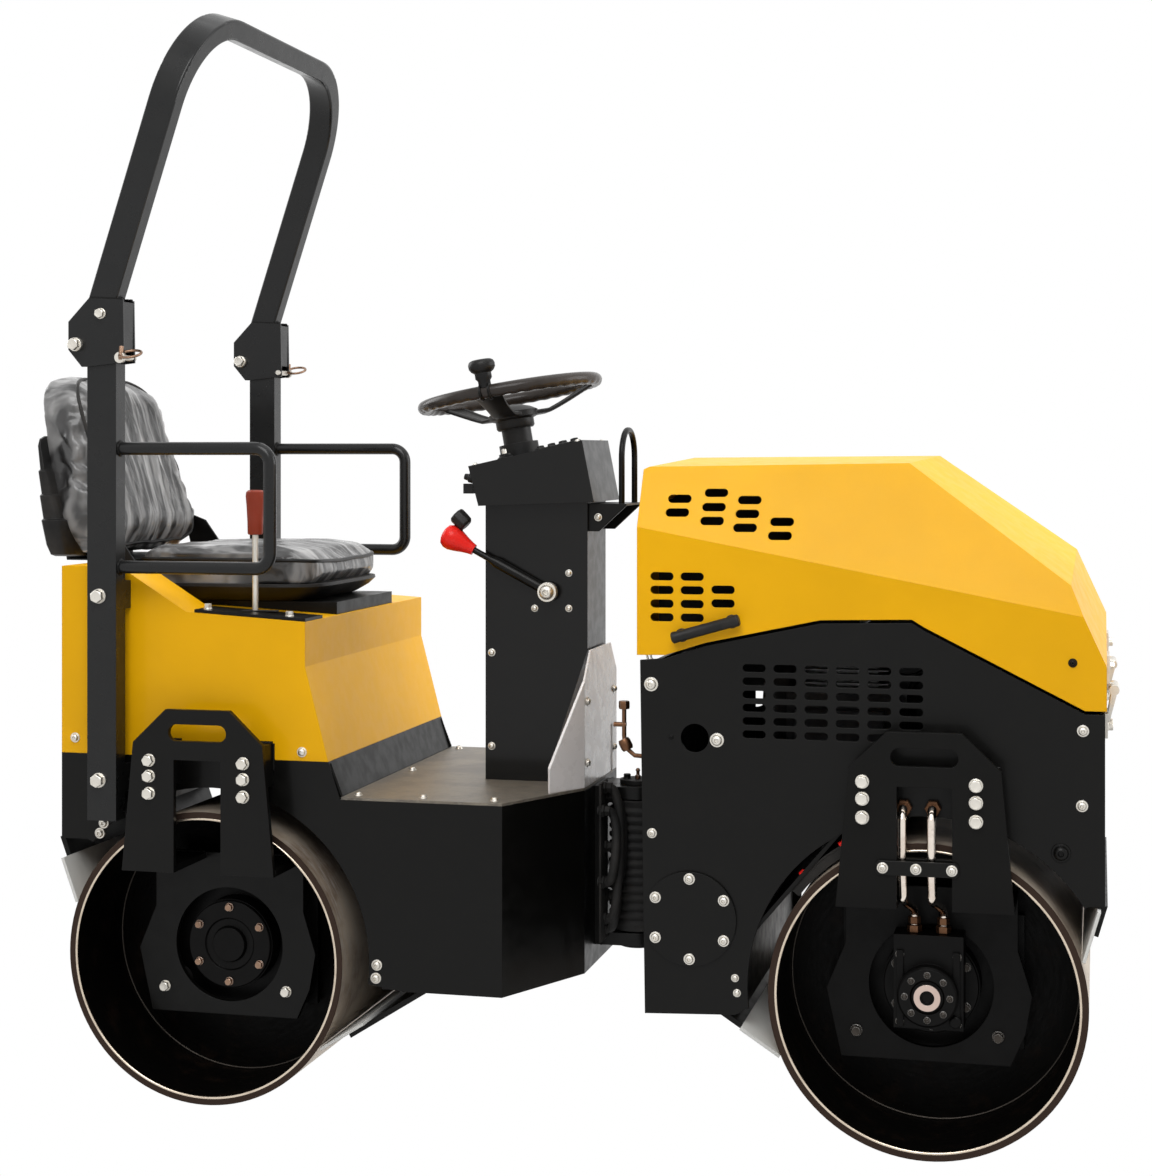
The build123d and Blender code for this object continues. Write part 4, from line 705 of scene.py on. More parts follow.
class Shape:
    """Collects mesh geometry in the machine's frame and turns it into one piece."""

    def __init__(self) -> None:
        """Starts an empty mesh."""
        self.mesh = bmesh.new()

    def skin(self, rings: list[list[bmesh.types.BMVert]], closed: bool = False) -> None:
        """Joins rings of vertices with faces; a ring of one vertex is a pole.

        Args:
            rings: the rings in order.
            closed: joins the last ring to the first.
        """
        pairs = list(zip(rings, rings[1:])) + ([(rings[-1], rings[0])] if closed else [])
        for low, high in pairs:
            count = max(len(low), len(high))
            for i in range(count):
                j = (i + 1) % count
                corners = [low[i % len(low)], low[j % len(low)], high[j % len(high)], high[i % len(high)]]
                face = list(dict.fromkeys(corners))
                if len(face) > 2:
                    self.mesh.faces.new(face)

    def ring(self, points: Iterable[Point]) -> list[bmesh.types.BMVert]:
        """Adds a row of vertices."""
        return [self.mesh.verts.new(point) for point in points]

    def solid(self, rings: list[list[bmesh.types.BMVert]]) -> "Shape":
        """Joins rings of vertices and closes both ends.

        Args:
            rings: the rings in order.

        Returns:
            The shape itself.
        """
        self.skin(rings)
        self.mesh.faces.new(list(reversed(rings[0])))
        self.mesh.faces.new(rings[-1])
        return self

    def lathe(self, profile: Sequence[Pair], origin: Point, axis: Point,
              steps: int = 40) -> "Shape":
        """Turns a profile round an axis.

        Args:
            profile: (radius, distance along the axis) points; radius 0 makes a pole.
            origin: where the axis starts.
            axis: its direction.
            steps: how many sides the form has.

        Returns:
            The shape itself.
        """
        turn = Vector(axis).to_track_quat("Z", "Y").to_matrix()
        rings = []
        for radius, along in profile:
            angles = turns(steps) if radius else [0.0]
            rings.append(self.ring(Vector(origin) + turn @ Vector((radius * cos(a), radius * sin(a),
                                                                   along)) for a in angles))
        self.skin(rings)
        return self

    def tube(self, points: Sequence[Point], radius: float | Callable[[float], float], sides: int = 14,
             closed: bool = False) -> "Shape":
        """Runs a round tube through points.

        Args:
            points: the centreline.
            radius: its radius, or a function of the distance along it.
            sides: how many sides it has.
            closed: joins its end to its start.

        Returns:
            The shape itself.
        """
        line = [Vector(p) for p in points]
        count = len(line)
        normal = None
        rings, travelled = [], 0.0
        for i, point in enumerate(line):
            before = line[i - 1] if closed or i else line[i]
            after = line[(i + 1) % count] if closed or i < count - 1 else line[i]
            run = (after - before).normalized()
            if normal is None:
                normal = run.orthogonal().normalized()
            normal = (normal - run * normal.dot(run)).normalized()
            other = run.cross(normal)
            size = radius(travelled) if callable(radius) else radius
            rings.append(self.ring(point + size * (cos(a) * normal + sin(a) * other)
                                   for a in turns(sides)))
            travelled += (after - point).length
        if not closed:
            return self.solid(rings)
        self.skin(rings, closed)
        return self

    def weld(self, start: Point, end: Point, size: float = 0.0035) -> "Shape":
        """Lays a rippled weld bead from one point to another.

        Args:
            start: one end.
            end: the other end.
            size: the bead's radius.

        Returns:
            The shape itself.
        """
        first, last = Vector(start), Vector(end)
        count = max(6, round((last - first).length / 0.0016))
        points = [first.lerp(last, i / count) for i in range(count + 1)]
        return self.tube(points, lambda s: size * (0.86 + 0.16 * sin(s * 1500) ** 2), 8)

    def slab(self, outline: Sequence[Pair], along: str, low: float,
             high: float) -> "Shape":
        """Extrudes an outline along one axis of the machine's frame.

        Args:
            outline: points in the other two axes, in their XYZ order.
            along: the axis' letter.
            low: where the slab starts.
            high: where it ends.

        Returns:
            The shape itself.
        """
        at = "xyz".index(along)

        def corner(pair: Pair, depth: float) -> Vector:
            """Puts a point of the outline at a depth along the axis."""
            return Vector((*pair[:at], depth, *pair[at:]))

        return self.solid([self.ring(corner(pair, depth) for pair in outline) for depth in (low, high)])

    def block(self, low: Point, high: Point) -> "Shape":
        """Adds a box between two corners, as part of a larger form."""
        outline = [(low[0], low[1]), (high[0], low[1]), (high[0], high[1]), (low[0], high[1])]
        return self.slab(outline, "z", low[2], high[2])

    def thing(self, name: str) -> bpy.types.Object:
        """Turns what was collected into an object outside the scene.

        Args:
            name: the object's name.

        Returns:
            The new object.
        """
        bmesh.ops.recalc_face_normals(self.mesh, faces=self.mesh.faces)
        mesh = bpy.data.meshes.new(name)
        self.mesh.to_mesh(mesh)
        self.mesh.free()
        return bpy.data.objects.new(name, mesh)

    def piece(self, name: str, style: Finish, body: str, **dress: float | str) -> bpy.types.Object:
        """Turns what was collected into a piece on a body; dress is what settle takes besides."""
        return settle(self.thing(name), style, body, **dress)


def settle(thing: bpy.types.Object, style: Finish, body: str, bevel: float = 0.0, angle: float = 35.0,
           slot: str | None = None) -> bpy.types.Object:
    """Puts a new object in the scene with its finish, edges, shading and body.

    Args:
        thing: the mesh object, already in the machine's frame.
        style: its finish.
        body: the CAD body it moves with.
        bevel: rounds its sharp edges by this much, in metres.
        angle: edges sharper than this stay sharp in shading, in degrees.
        slot: the record's material slot, where it isn't the finish's own; not used.

    Returns:
        The object.
    """
    if thing.name not in bpy.context.scene.collection.objects:
        show(thing)
    thing.data.materials.clear()
    thing.data.materials.append(finish_of(style))
    smooth(thing, angle)
    if bevel:
        edge = thing.modifiers.new("Edge", "BEVEL")
        edge.width, edge.segments, edge.limit_method = bevel, 3, "ANGLE"
        edge.angle_limit, edge.harden_normals = radians(angle), True
    slot = slot or style.slot
    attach(thing, body)
    LOG.info("%s: %d faces on %s", thing.name, len(thing.data.polygons), body)
    return thing


# --- fasteners
class Head(Enum):
    """The kinds of bolt head."""

    HEX = "hex"
    DOME = "dome"


@dataclass(frozen=True)
class Bolt:
    """One bolt head on a face.

    Attributes:
        place: the middle of its seat, in metres.
        aim: the direction its head faces.
        size: the head's width across, in metres.
        head: its kind.
    """

    place: Point
    aim: Point
    size: float
    head: Head = Head.HEX


def head_mesh(head: Head) -> bpy.types.Object:
    """A bolt head one unit across with its washer, facing +Z; used as an instance only.

    Args:
        head: the kind of head.

    Returns:
        The object, which isn't linked to the scene.
    """
    shape = Shape()
    shape.lathe([(0.66, -0.3), (0.66, 0.07), (0.63, 0.11), (0.4, 0.11)], (0, 0, 0), (0, 0, 1), 28)
    if head is Head.HEX:
        steps, rings = 36, []
        for row in range(4):
            ring = []
            for a in turns(steps):
                across = 0.5 / cos((a + pi / 6) % (pi / 3) - pi / 6)
                radius, z = ((across, 0.11), (across, 0.7 - 0.6 * (across - 0.455)), (0.455, 0.71),
                             (0.36, 0.69))[row]
                ring.append((radius * cos(a), radius * sin(a), z))
            rings.append(shape.ring(ring))
        rings.append(shape.ring([(0, 0, 0.69)]))
        shape.skin(rings)
    else:
        dome = [(0.5, 0.11), (0.5, 0.2), (0.44, 0.36), (0.31, 0.46), (0.2, 0.485)]
        shape.lathe(dome, (0, 0, 0), (0, 0, 1), 28)
        shape.lathe([(0.2, 0.485), (0.19, 0.26), (0, 0.25)], (0, 0, 0), (0, 0, 1), 6)
    thing = shape.thing(f"Head_{head.value}")
    smooth(thing, 40)
    return thing


class BoltField:
    """A Geometry Nodes group that puts a bolt head on every point of a mesh.

    Each point has an aim and a size attribute. The heads turn on their axes by chance, from a
    fixed seed, and the result is one mesh with its material.
    """

    def __init__(self) -> None:
        """Builds the node group and the two heads."""
        self.heads = {head: head_mesh(head) for head in Head}
        self.group = bpy.data.node_groups.new("BoltField", "GeometryNodeTree")
        face = self.group.interface
        self.sockets = {}
        for name, kind in (("Points", "Geometry"), ("Head", "Object"), ("Metal", "Material"),
                           ("Seed", "Int")):
            made = face.new_socket(name=name, in_out="INPUT", socket_type=f"NodeSocket{kind}")
            self.sockets[name] = made.identifier
        face.new_socket(name="Bolts", in_out="OUTPUT", socket_type="NodeSocketGeometry")
        self._wire()

    def _wire(self) -> None:
        """Adds and links the group's nodes."""
        nodes, link = self.group.nodes, self.group.links.new
        into, out = nodes.new("NodeGroupInput"), nodes.new("NodeGroupOutput")
        aim, size = (nodes.new("GeometryNodeInputNamedAttribute") for _ in range(2))
        aim.data_type, size.data_type = "FLOAT_VECTOR", "FLOAT"
        aim.inputs["Name"].default_value, size.inputs["Name"].default_value = "aim", "size"
        align, chance, spin, turn = (nodes.new(f"FunctionNode{kind}") for kind in (
            "AlignRotationToVector", "RandomValue", "AxisAngleToRotation", "RotateRotation"))
        align.axis, chance.data_type, turn.rotation_space = "Z", "FLOAT", "LOCAL"
        chance.inputs[3].default_value = tau
        spin.inputs["Axis"].default_value = UPWARD
        info, place, real, paint = (nodes.new(f"GeometryNode{kind}") for kind in (
            "ObjectInfo", "InstanceOnPoints", "RealizeInstances", "SetMaterial"))
        info.inputs["As Instance"].default_value = True
        for source, output, target, socket in (
                (aim, "Attribute", align, "Vector"), (into, "Seed", chance, "Seed"),
                (chance, 1, spin, "Angle"),
                (align, "Rotation", turn, "Rotation"), (spin, "Rotation", turn, "Rotate By"),
                (into, "Head", info, "Object"), (into, "Points", place, "Points"),
                (info, "Geometry", place, "Instance"), (turn, "Rotation", place, "Rotation"),
                (size, "Attribute", place, "Scale"), (place, "Instances", real, "Geometry"),
                (real, "Geometry", paint, "Geometry"), (into, "Metal", paint, "Material"),
                (paint, "Geometry", out, "Bolts")):
            link(source.outputs[output], target.inputs[socket])

    def fit(self, name: str, bolts: Iterable[Bolt], body: str, style: Finish, seed: int = 1) -> None:
        """Makes one piece from bolts, a head kind at a time.

        Args:
            name: the piece's name, to which the head's kind is added.
            bolts: the bolts.
            body: the CAD body they ride on.
            style: their finish.
            seed: sets how the heads are turned.
        """
        bolts = list(bolts)
        for head in Head:
            rows = [bolt for bolt in bolts if bolt.head is head]
            if not rows:
                continue
            mesh = bpy.data.meshes.new(f"{name}_points")
            mesh.from_pydata([row.place for row in rows], [], [])
            mesh.attributes.new("aim", "FLOAT_VECTOR", "POINT")
            mesh.attributes.new("size", "FLOAT", "POINT")
            for row, aim, size in zip(rows, mesh.attributes["aim"].data, mesh.attributes["size"].data):
                aim.vector, size.value = row.aim, row.size
            holder = bpy.data.objects.new(f"{name}_points", mesh)
            show(holder)
            scatter = holder.modifiers.new("BoltField", "NODES")
            scatter.node_group = self.group
            scatter[self.sockets["Head"]] = self.heads[head]
            scatter[self.sockets["Metal"]] = finish_of(style)
            scatter[self.sockets["Seed"]] = seed
            made = baked(holder)
            bpy.data.objects.remove(holder)
            piece = bpy.data.objects.new(f"{name}_{head.value}", made)
            settle(piece, style, body, angle=40, slot="zinc_steel")


def both(bolts: Iterable[Bolt]) -> list[Bolt]:
    """The bolts with their mirror images in the centre plane.

    Args:
        bolts: bolts on the right side.

    Returns:
        The bolts of both sides.
    """
    made = list(bolts)
    for bolt in list(made):
        (x, y, z), (a, b, c) = bolt.place, bolt.aim
        made.append(Bolt((x, -y, z), (a, -b, c), bolt.size, bolt.head))
    return made


def ring_of(centre: Pair, y: float, radius: float, count: int, size: float,
            head: Head = Head.HEX, start: float = 0.0) -> list[Bolt]:
    """A ring of bolts on a face that looks sideways.

    Args:
        centre: (x, z) of the ring.
        y: the face's place; the bolts look away from the centre plane.
        radius: the ring's radius.
        count: how many bolts it has.
        size: a head's width across.
        head: the kind of head.
        start: the first bolt's angle, in degrees.

    Returns:
        The bolts.
    """
    out = -1 if y < 0 else 1
    angles = [radians(start) + tau * i / count for i in range(count)]
    return [Bolt((centre[0] + radius * cos(a), y, centre[1] + radius * sin(a)), (0, out, 0), size,
                 head) for a in angles]


@dataclass
class Fitment:
    """A group of pieces that are fastened to one place.

    Attributes:
        heads: sets the bolts.
    """

    heads: BoltField

    def build(self) -> None:
        """Adds the pieces to their bodies."""
        raise NotImplementedError


# --- drum carriers
@dataclass
class Carrier(Fitment):
    """What is fastened to one drum's brackets: hub covers, bolts and weld beads.

    Attributes:
        end: "rear" or "front".
        axle_x: the axle's place along the machine.
        columns: (rear, forward) places of the bracket bolts from the axle.
        rows: their heights.
        hub_metal: the finish of the hub plate's bolts.
        cover_metal: the finish of the cover's bolts.
        bracket_y: the outer bracket's face, from the centre plane.
        plate_y: the hub plate's face.
        hub_y: the face that the cover lies on.
        hub_radius: the cover's radius.
        mounts: (x, z) of the hub plate's bolts, x from the axle.
    """

    end: str
    axle_x: float
    columns: Pair
    rows: tuple[float, float, float]
    hub_metal: Finish
    cover_metal: Finish
    bracket_y: float = 0.425
    plate_y: float = 0.27
    hub_y: float = 0.262
    hub_radius: float = 0.086
    mounts: tuple[Pair, ...] = ((-0.135, 0.191), (0.12, 0.194))

    def build(self) -> None:
        """Adds the pieces to the carriers' body."""
        body = f"{self.end}_frame"
        centre = (self.axle_x, DRUM_RADIUS)
        bolts = [Bolt((self.axle_x + x, -self.bracket_y, z), OUTWARD, 0.019)
                 for x in self.columns for z in self.rows]
        hub = [Bolt((self.axle_x + x, -self.plate_y, z), OUTWARD, 0.017) for x, z in self.mounts]
        ring = ring_of(centre, -self.hub_y - 0.006, 0.073, 6, 0.013, start=30)
        self.heads.fit(f"{self.end}_carrier_bolts", both(bolts), body, ZINC, 3)
        self.heads.fit(f"{self.end}_hub_bolts", both(hub), body, self.hub_metal, 4)
        self.heads.fit(f"{self.end}_cover_bolts", both(ring), body, self.cover_metal, 5)
        covers, beads = Shape(), Shape()
        for out in SIDES:
            covers.lathe([(self.hub_radius, 0), (self.hub_radius, 0.005), (self.hub_radius - 0.002, 0.007),
                          (0.052, 0.007), (0.049, 0.003), (0.036, 0.003), (0.033, 0.012), (0.012, 0.014),
                          (0, 0.014)], (self.axle_x, out * self.hub_y, DRUM_RADIUS), (0, out, 0), 56)
            for end in (-1, 1):
                low, high = sorted((self.axle_x + end * 0.06, self.axle_x + end * 0.128))
                foot = sorted((self.axle_x + end * 0.05, self.axle_x + end * 0.153))
                for (start, stop), y, z in (((low, high), 0.3615, 0.6115), ((low, high), 0.4115, 0.6115),
                                            ((low, high), 0.3615, 0.6925), ((low, high), 0.4115, 0.6925),
                                            (foot, 0.2715, 0.4605), (foot, 0.4125, 0.4605)):
                    beads.weld((start, out * y, z), (stop, out * y, z))
        welds, lips = Shape(), Shape()
        for out in SIDES:
            welds.tube(arc(centre, out * 0.1968, 0.2632, 0, 360, 120), 0.0024, 8, closed=True)
            lips.tube(arc(centre, out * 0.3905, 0.2665, 0, 360, 160), 0.0026, 12, closed=True)
        lips.piece(f"{self.end}_drum_lips", LIP_STEEL, f"{self.end}_drum", angle=80)
        welds.piece(f"{self.end}_drum_welds", DARK_ZINC, f"{self.end}_drum", angle=80)
        covers.piece(f"{self.end}_hub_covers", CARRIER_BLACK, body, angle=30)
        beads.piece(f"{self.end}_carrier_welds", BLACK, body, angle=80)


@dataclass
class DriveMotor(Fitment):
    """The motor's cover, its pipe fittings and clamp bolts on the right front hub.

    Attributes:
        centre: (x, z) of its axis.
        face_y: the place of its cover's seat.
        pipes: each pipe's upper and lower place from the axis.
    """

    centre: Pair = (FRONT_AXLE_X, DRUM_RADIUS)
    face_y: float = -0.352
    pipes: tuple[Pair, ...] = ((-0.04, -0.027), (0.011, 0.025))

    def build(self) -> None:
        """Adds the pieces to the front frame."""
        x, z = self.centre
        cover = Shape().lathe([(0.054, -0.012), (0.054, 0.004), (0.05, 0.008), (0.031, 0.008),
                               (0.028, 0.004), (0.024, 0.004), (0.022, 0.01), (0.01, 0.012),
                               (0.009, 0.009), (0, 0.009)], (x, self.face_y, z), OUTWARD, 56)
        cover.lathe([(0.011, 0), (0.011, 0.012), (0.008, 0.014), (0, 0.014)],
                    (x + 0.048, -0.33, z - 0.046), OUTWARD, 20)
        for dx in (-0.05, 0.05):
            cover.block((x + dx - 0.006, -0.336, z - 0.06), (x + dx + 0.006, -0.329, z + 0.076))
        cover.piece("motor_cover", CARRIER_BLACK, "front_frame", angle=30)
        ring = Shape().lathe([(0.013, 0.009), (0.013, 0.0125), (0.0235, 0.0125), (0.024, 0.009)],
                             (x, self.face_y, z), OUTWARD, 48)
        ring.piece("motor_ring", RING_STEEL, "front_frame", angle=30)
        bolts = ring_of(self.centre, self.face_y - 0.008, 0.04, 8, 0.0095, Head.DOME)
        bolts += [Bolt((x + dx, -0.33, z + dz), OUTWARD, 0.012, Head.DOME)
                  for dx in (-0.051, 0.051) for dz in (-0.052, 0.068)]
        self.heads.fit("motor_bolts", bolts, "front_frame", DARK_ZINC, 7)
        held = [Bolt((x + dx, -0.4305, 0.521), OUTWARD, 0.015, Head.DOME) for dx in (-0.072, -0.014, 0.048)]
        self.heads.fit("clamp_bolts", held, "front_frame", ZINC, 8)
        bar = Shape()
        outline = [(x - 0.084, 0.513), (x - 0.079, 0.508), (x + 0.055, 0.508), (x + 0.06, 0.513),
                   (x + 0.06, 0.529), (x + 0.055, 0.534), (x - 0.079, 0.534), (x - 0.084, 0.529)]
        bar.slab(outline, "y", -0.4305, -0.4255)
        bar.piece("clamp_bar", BLACK, "front_frame", bevel=0.0012)
        self._pipes()
        nuts = Shape()
        for high, low in self.pipes:
            nuts.lathe(self._nut(0.015, 0.016), (x + high, -0.36, 0.618), OUTWARD, 6)
            for top, size, length in ((0.384, 0.014, 0.014), (0.399, 0.0115, 0.014)):
                nuts.lathe(self._nut(size, length), (x + low, -0.305, top), UPWARD, 6)
        nuts.piece("pipe_nuts", DARK_BRONZE, "front_frame", bevel=0.0008, angle=30)

    def _pipes(self) -> None:
        """The two bright pipes, bent over from the chassis and down to the motor's ports."""
        pipes, x = Shape(), self.centre[0]
        for high, low in self.pipes:
            line = [(x + high, -0.361, 0.618), (x + high, -0.385, 0.618)]
            for i in range(1, 9):
                a = radians(90 - 11.25 * i)
                line.append((x + high, -0.385 - 0.0225 * cos(a), 0.5955 + 0.0225 * sin(a)))
            line += [(x + high, -0.4065, 0.52), (x + high + 0.002, -0.4045, 0.47)]
            for i in range(1, 12):
                t = i / 12
                ease = t * t * (3 - 2 * t)
                line.append((x + high + (low - high) * ease, -0.4045 + 0.0995 * ease, 0.47 - 0.052 * t))
            line += [(x + low, -0.305, 0.412), (x + low, -0.305, 0.394)]
            pipes.tube(line, 0.0082, 20)
        made = pipes.piece("bent_pipes", PIPE_STEEL, "front_frame", angle=60)
        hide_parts("drive_pipes")

    @staticmethod
    def _nut(size: float, length: float) -> list[Pair]:
        """The profile of a hexagon nut with chamfered ends."""
        return [(0, 0), (size - 0.002, 0), (size, 0.0012), (size, length - 0.0012), (size - 0.002, length),
                (0, length)]


# --- rear frame
@dataclass
class RearBody(Fitment):
    """The seat box's and the rear weldment's fasteners, tabs and welds.

    Attributes:
        half: half of the body's width.
        post_x: the hoop posts' place from the rear axle.
    """

    half: float = 0.36
    post_x: float = -0.2025

    def build(self) -> None:
        """Adds the pieces to the rear frame."""
        bolts = [Bolt((rear(self.post_x), -0.425, z), OUTWARD, 0.022) for z in (0.9726, 0.619)]
        bolts += [Bolt((rear(x), -self.half, z), OUTWARD, 0.016, Head.DOME)
                  for x, z in ((-0.224, 0.5246), (-0.2325, 0.5047), (0.3377, 0.2794), (0.3357, 0.2547))]
        bolts += [Bolt((rear(0.187), -self.half, 0.677), OUTWARD, 0.015, Head.DOME),
                  Bolt((rear(-0.285), -self.half, 0.69), OUTWARD, 0.015, Head.DOME)]
        bolts += [Bolt((rear(x), -self.half, 0.6695), OUTWARD, 0.013, Head.DOME) for x in (-0.13, 0.05)]
        plate = [Bolt((rear(x), -0.33, z), UPWARD, 0.013) for x, z in ((-0.0187, 0.9455), (0.15, 0.9335))]
        floor = [Bolt((rear(x), y, 0.594), UPWARD, 0.013, Head.DOME)
                 for x, y in ((0.29, -0.33), (0.56, -0.33), (0.665, -0.12), (0.29, 0), (0.42, -0.33))]
        mirrored = both(bolts) + both(floor[:3] + floor[4:]) + [floor[3]] + plate
        self.heads.fit("rear_body_bolts", mirrored, "rear_frame", ZINC, 5)
        tabs = Shape()
        for out in SIDES:
            y = out * self.half
            low, high = sorted((y, y + out * 0.004))
            for x in (-0.115, 0.116):
                tabs.block((rear(x) - 0.016, low, 0.64), (rear(x) + 0.016, high, 0.692))
        tabs.piece("seat_box_tabs", BLACK, "rear_frame", bevel=0.0012)
        self.heads.fit("tab_bolts", both([Bolt((rear(x), -self.half - 0.004, 0.672), OUTWARD, 0.015)
                                      for x in (-0.115, 0.116)]), "rear_frame", BLACK, 6)
        beads = Shape()
        for out in SIDES:
            for low, high in ((0.592, 0.646), (0.946, 1.0)):
                for z in (low, high):
                    beads.weld((rear(-0.226), out * 0.3835, z), (rear(-0.168), out * 0.3835, z), 0.003)
            for z in (1.028, 1.256):
                beads.tube([(rear(-0.1665), out * 0.405 + 0.0135 * cos(a), z + 0.0135 * sin(a))
                            for a in turns(28)], 0.0026, 8, closed=True)
            beads.weld((rear(0.2405), out * 0.352, 0.656), (rear(0.2645), out * 0.352, 0.594), 0.003)
        for z in (0.272, 0.293, 0.562, 0.583):
            beads.weld((rear(0.7015), -0.054, z), (rear(0.7015), 0.054, z), 0.004)
        beads.piece("rear_welds", BLACK, "rear_frame", angle=80)


@dataclass
class Hoop(Fitment):
    """The hoop's hinge hardware: bolt heads, lynch rings and the crossbar's end welds.

    Attributes:
        pivot: (x, z) of the fold's axis, x from the rear axle.
        ring_radius: the lynch rings' radius.
        wire: their wire's radius.
    """

    pivot: Pair = (-0.246, 1.456)
    ring_radius: float = 0.021
    wire: float = 0.0026

    def build(self) -> None:
        """Adds the pieces to the hoop's body."""
        x, z = rear(self.pivot[0]), self.pivot[1]
        bolts = [Bolt((x, -0.4375, z), OUTWARD, 0.02), Bolt((x, -0.3745, z), (0, 1, 0), 0.02)]
        bolts += [Bolt((rear(px), -0.4305, pz), OUTWARD, 0.016) for px, pz in ((-0.196, 1.515),)]
        self.heads.fit("hoop_bolts", both(bolts), "rops_hoop", ZINC, 9)
        rings, beads = Shape(), Shape()
        for out in SIDES:
            centre = Vector((rear(-0.1325), out * 0.4345, 1.4365))
            across, sink = Vector((1, 0, 0)) * self.ring_radius, Vector((0, -0.93, -0.36)) * self.ring_radius
            rings.tube([centre + across * cos(a) + sink * sin(a) for a in turns(48)], self.wire, 10,
                       closed=True)
            rings.lathe([(0, -0.014), (0.0035, -0.014), (0.0045, -0.01), (0.0045, 0.012), (0, 0.013)],
                        (rear(-0.152), out * 0.4345, 1.4395), (0, 0.2, 1), 16)
            for y in (0.3845, 0.4255):
                beads.weld((rear(-0.221), out * y, 1.5455), (rear(-0.152), out * y, 1.5415), 0.003)
        rings.piece("lynch_rings", BRONZE, "rops_hoop", angle=60)
        beads.piece("hoop_welds", BLACK, "rops_hoop", angle=80)


